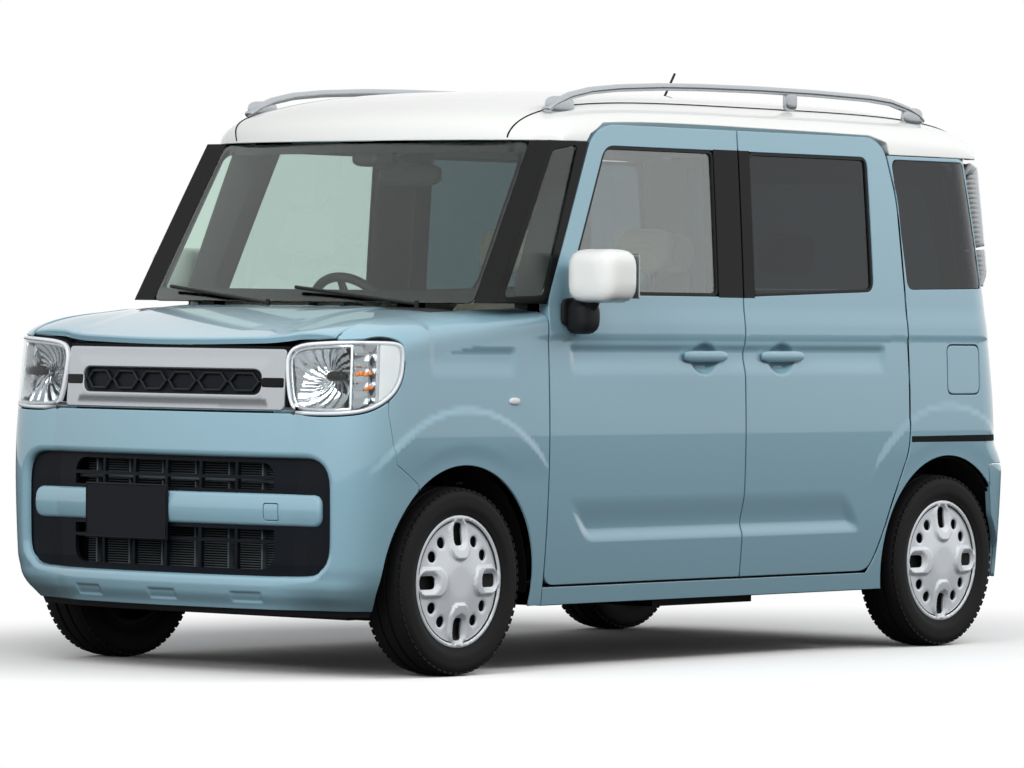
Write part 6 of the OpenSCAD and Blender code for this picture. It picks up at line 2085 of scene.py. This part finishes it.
@dataclass
class Roof:
    """The ivory roof over the cabin."""

    peak: float = -300.0
    eave: float = 1590.0
    rise: float = 178.0
    fore_power: float = 3.2
    aft_power: float = 4.0
    samples: int = 6000

    @staticmethod
    def reach(fore: Array | bool, k: Array | float) -> Array:
        """Length of the roof before and behind its peak.

        Args:
            fore: Whether the front is meant.
            k: Share of the half width.

        Returns:
            Lengths.
        """
        return np.where(fore, 1122 - 70 * k**2 - 70 * k**8, 1272.5 - 22 * k**2 - 70 * k**10)

    def point(self, p: Array, q: Array) -> Array:
        """The roof's skin from its two angles.

        Args:
            p: Angles from the front edge to the tail.
            q: Angles from the left edge to the right.

        Returns:
            Points of the skin.
        """
        half = float(Skin.side_half(self.eave))
        fore = p < math.pi / 2
        power = np.where(fore, self.fore_power, self.aft_power)
        k = np.abs(np.cos(q)) ** (2 / 3)
        x = self.peak + np.where(fore, 1, -1) * self.reach(fore, k) * np.abs(np.cos(p)) ** (2 / power)
        z = self.eave + self.rise * np.sin(p) ** (2 / power) * np.sin(q) ** (2 / 3)
        return np.stack([x, np.sign(np.cos(q)) * half * k, z], 1)

    def seam(self) -> Solid:
        """The joint beside each rail, which turns down to the windscreen.

        Returns:
            The left one.
        """
        p = np.concatenate([np.linspace(0.01, 0.66, 30), np.linspace(0.68, 2.9, 50)])
        q = 0.702 + 0.097 * np.maximum(0, 1 - p / 0.6) ** 2
        return tube(self.point(p, q), 2.6, 8)

    def build(self) -> None:
        """Makes the roof."""
        piece("roof_seams", both(self.seam()), Finishes.LINER_AND_SHADE)
        p = q = np.linspace(1e-4, math.pi - 1e-4, self.samples)

        def run(line: Array) -> Array:
            return np.concatenate([[0], np.cumsum(np.linalg.norm(np.diff(line, axis=0), axis=1))])

        along = run(self.point(p, np.full(self.samples, math.pi / 2)))
        across = run(self.point(np.full(self.samples, math.pi / 2 - 0.01), q))

        def skin(uv: Array) -> Array:
            return self.point(np.interp(uv[:, 0], along, p), np.interp(uv[:, 1], across, q))

        def at(x: float, z: float) -> tuple[float, float]:
            k = 1.0
            for _ in range(4):
                fore = x > self.peak
                power = self.fore_power if fore else self.aft_power
                pp = math.acos(min(1.0, abs(x - self.peak) / float(self.reach(fore, k))) ** (power / 2))
                high = self.rise * max(1e-6, math.sin(pp)) ** (2 / power)
                qq = math.asin(min(1.0, max(0.0, (z - self.eave) / high)) ** 1.5)
                k = math.cos(qq) ** (2 / 3)
            u = np.interp(pp if fore else math.pi - pp, p, along)
            return float(u), float(np.interp(max(qq, 1e-4), q, across))

        end, wide = along[-1], across[-1]
        over_doors = ((566, 1590.6), (546, 1614), (466, 1651), (-902, 1651), (-986, 1630), (-1000, 1590.6))
        left = [(0.0, 0.5)] + [at(x, z) for x, z in over_doors] + [(end, 0.5)]
        line = left + [(u, wide - v) for u, v in reversed(left)]
        solid = pressing(line, skin, step=20, edge=3, wall=34, core=(-300, 0, 1300))
        piece("roof_skin", solid, Finishes.IVORY, nodes=["roof_panel"])


def seen_ray(tree: bpy.types.NodeTree, *kinds: str) -> bpy.types.NodeSocket:
    """Tells rays that show a surface from those that only light one.

    Args:
        tree: Node tree of the floor or the world.
        kinds: Kinds of ray that count besides the camera's.

    Returns:
        One for these rays.
    """
    path = add_node(tree, "ShaderNodeLightPath")
    seen = path.outputs["Is Camera Ray"]
    for kind in kinds:
        seen = add_node(
            tree, "ShaderNodeMath", {"operation": "MAXIMUM"}, None,
            {0: seen, 1: path.outputs[f"Is {kind} Ray"]}
        ).outputs[0]
    return seen


@dataclass
class Stage:
    """Floor, light and camera."""

    lens_px: float = 6000.04
    azimuth: float = 39.173
    elevation: float = 0.527
    distance: float = 26.393
    target: tuple = (-5.7115, -4.706, 0.831)
    roll: float = 0.605
    axis_up_px: float = 17.16
    picture_px: int = 1024
    sensor_mm: float = 36.0
    floor_half: float = 40.0
    lamps: tuple = (
        ("rear_softbox", (-6.0, 3.2, 4.0), (-1.6, 0.3, 0.9), (4, 3), 150),
        ("front_softbox", (7.5, 2.3, 3.6), (1.2, 0, 0.8), (4, 3), 230),
        ("bonnet_softbox", (3.6, 0.9, 2.5), (1.45, 0, 0.85), (1.6, 1.6), 50),
        ("left_softbox", (-1.0, 3.0, 2.9), (-1.0, 0.73, 0.9), (6, 1.0), 80),
    )

    def build(self) -> None:
        """Makes the stage."""
        scene = bpy.context.scene
        scene.view_settings.view_transform = "Standard"
        az, el, roll = (math.radians(v) for v in (self.azimuth, self.elevation, self.roll))
        toward = Vector((math.cos(el) * math.cos(az), math.cos(el) * math.sin(az), math.sin(el)))
        right = (-toward).cross(Vector((0, 0, 1))).normalized()
        up = right.cross(-toward)
        r2, u2 = right * math.cos(roll) + up * math.sin(roll), up * math.cos(roll) - right * math.sin(roll)
        data = bpy.data.cameras.new("photo_camera")
        data.sensor_width = self.sensor_mm
        data.lens = self.lens_px * self.sensor_mm / self.picture_px
        data.shift_y = -self.axis_up_px / self.picture_px
        data.clip_end = 200.0
        camera = bpy.data.objects.new("photo_camera", data)
        spot = Vector(self.target) + toward * self.distance
        camera.matrix_world = Matrix(
            (
                (r2.x, u2.x, toward.x, spot.x), (r2.y, u2.y, toward.y, spot.y),
                (r2.z, u2.z, toward.z, spot.z), (0, 0, 0, 1)
            )
        )
        scene.collection.objects.link(camera)
        scene.camera = camera
        self.floor()
        for lamp in self.lamps:
            self.lamp(*lamp)

    def floor(self) -> None:
        """Makes the pale floor and the white surround."""
        mesh = bpy.data.meshes.new("studio_floor")
        h = self.floor_half
        mesh.from_pydata([(-h, -h, 0), (h, -h, 0), (h, h, 0), (-h, h, 0)], [], [(0, 1, 2, 3)])
        floor = bpy.data.objects.new("studio_floor", mesh)
        bpy.context.scene.collection.objects.link(floor)
        mat = bpy.data.materials.new("white_studio_floor")
        mat.use_nodes = True
        tree = mat.node_tree
        shader = tree.nodes["Principled BSDF"]
        shader.inputs["Base Color"].default_value = linear("#F6F6F6")
        shader.inputs["Roughness"].default_value = 0.9
        # Away from the car the floor goes over into the white surround, near it it keeps the shadow
        spot = add_node(tree, "ShaderNodeTexCoord").outputs["Object"]
        size = add_node(tree, "ShaderNodeMapping", None, {"Scale": (0.26, 0.42, 1.0)}, {"Vector": spot})
        ball = add_node(
            tree, "ShaderNodeTexGradient", {"gradient_type": "SPHERICAL"}, None, {"Vector": size.outputs[0]}
        )
        ramp = add_node(tree, "ShaderNodeValToRGB", None, None, {"Fac": ball.outputs["Fac"]})
        ramp.color_ramp.interpolation = "EASE"
        ramp.color_ramp.elements[0].color, ramp.color_ramp.elements[1].color = (1, 1, 1, 1), (0, 0, 0, 1)
        ramp.color_ramp.elements[1].position = 0.5
        white = add_node(tree, "ShaderNodeEmission", None, {"Color": linear("#FFFFFF"), "Strength": 1.0})
        path = add_node(tree, "ShaderNodeLightPath").outputs["Is Camera Ray"]
        far = add_node(
            tree, "ShaderNodeMath", {"operation": "MULTIPLY"}, None, {0: path, 1: ramp.outputs["Color"]}
        )
        grey = add_node(tree, "ShaderNodeBsdfDiffuse", None, {"Color": linear("#555555")})
        near = add_node(
            tree, "ShaderNodeMixShader", None, None,
            {0: seen_ray(tree, "Transmission"), 1: grey.outputs[0], 2: shader.outputs[0]}
        )
        mix = add_node(
            tree, "ShaderNodeMixShader", None, None,
            {0: far.outputs[0], 1: near.outputs[0], 2: white.outputs[0]}
        )
        tree.links.new(mix.outputs[0], tree.nodes["Material Output"].inputs["Surface"])
        mesh.materials.append(mat)
        world = bpy.data.worlds.new("white_surround")
        bpy.context.scene.world = world
        world.use_nodes = True
        tree = world.node_tree
        tree.nodes.clear()
        dim = add_node(tree, "ShaderNodeBackground", None, {"Color": linear("#FFFFFF"), "Strength": 0.35})
        white = add_node(tree, "ShaderNodeBackground", None, {"Color": linear("#FFFFFF"), "Strength": 1.0})
        mix = add_node(
            tree, "ShaderNodeMixShader", None, None,
            {0: seen_ray(tree, "Glossy", "Transmission"), 1: dim.outputs[0], 2: white.outputs[0]}
        )
        add_node(tree, "ShaderNodeOutputWorld", None, None, {"Surface": mix.outputs[0]})

    def lamp(self, name: str, spot: tuple, aim: tuple, size: tuple, power: float) -> None:
        """Hangs a softbox.

        Args:
            name: Name of the lamp.
            spot: Its place.
            aim: The point it faces.
            size: Its two sides.
            power: Its power in watts.
        """
        data = bpy.data.lights.new(name, "AREA")
        data.shape, data.size, data.size_y, data.energy = "RECTANGLE", size[0], size[1], power
        lamp = bpy.data.objects.new(name, data)
        way = Vector(aim) - Vector(spot)
        lamp.matrix_world = Matrix.Translation(spot) @ way.to_track_quat("-Z", "Y").to_matrix().to_4x4()
        bpy.context.scene.collection.objects.link(lamp)
        lamp.visible_camera = lamp.visible_glossy = False


NODE_FINISHES: dict[Finish, tuple[str, ...]] = {
    Finishes.CARPET: ("floor_pan",),
    Finishes.STEEL: (
        "front_structure", "radiator", "front_suspension", "rear_axle", "fuel_tank", "knuckle_left",
        "knuckle_right",
    ),
    Finishes.CAST: ("engine_block", "exhaust"),
    Finishes.LINER_AND_SHADE: ("wheel_liners",),
    Finishes.INSERT: ("grille_inserts",),
    Finishes.PLATE: ("number_plate",),
    Finishes.GLASS: ("windscreen", "door_glass_left", "door_glass_right"),
    Finishes.PRIVACY: ("side_glass", "tailgate_glass"),
    Finishes.PLASTIC: ("cowl_panel", "wipers", "antenna"),
    Finishes.MILK: ("tail_lamps",),
    Finishes.SATIN: ("roof_rails",),
    Finishes.DASH: ("dashboard", "steering_wheel"),
    Finishes.CLOTH: ("front_seats", "rear_seat"),
    Finishes.IVORY: ("mirror_left", "mirror_right"),
    Finishes.GLOSS: ("body_sides",),
}


def dress_nodes() -> None:
    """Gives every shown node its finish."""
    finishes = {name: finish for finish, names in NODE_FINISHES.items() for name in names}
    for name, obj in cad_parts.items():
        wheel = {"tyre": Finishes.RUBBER, "wheel": Finishes.COVER}.get(name.split("_")[0], Finishes.PAINT)
        finish = finishes.get(name, wheel)
        obj.data.materials.clear()
        obj.data.materials.append(material(finish))


def main() -> None:
    """Builds the car and its stage."""
    logging.basicConfig(level=logging.INFO, format="%(message)s")
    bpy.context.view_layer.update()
    dress_nodes()
    for part in (
        FrontEnd(), Bonnet(), Doors(), SidePanels(), Rear(), Roof(), Details(), Wheels(), Seats(), Stage()
    ):
        part.build()
        LOG.info("%s done", type(part).__name__)
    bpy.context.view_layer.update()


if __name__ == "__main__":
    main()
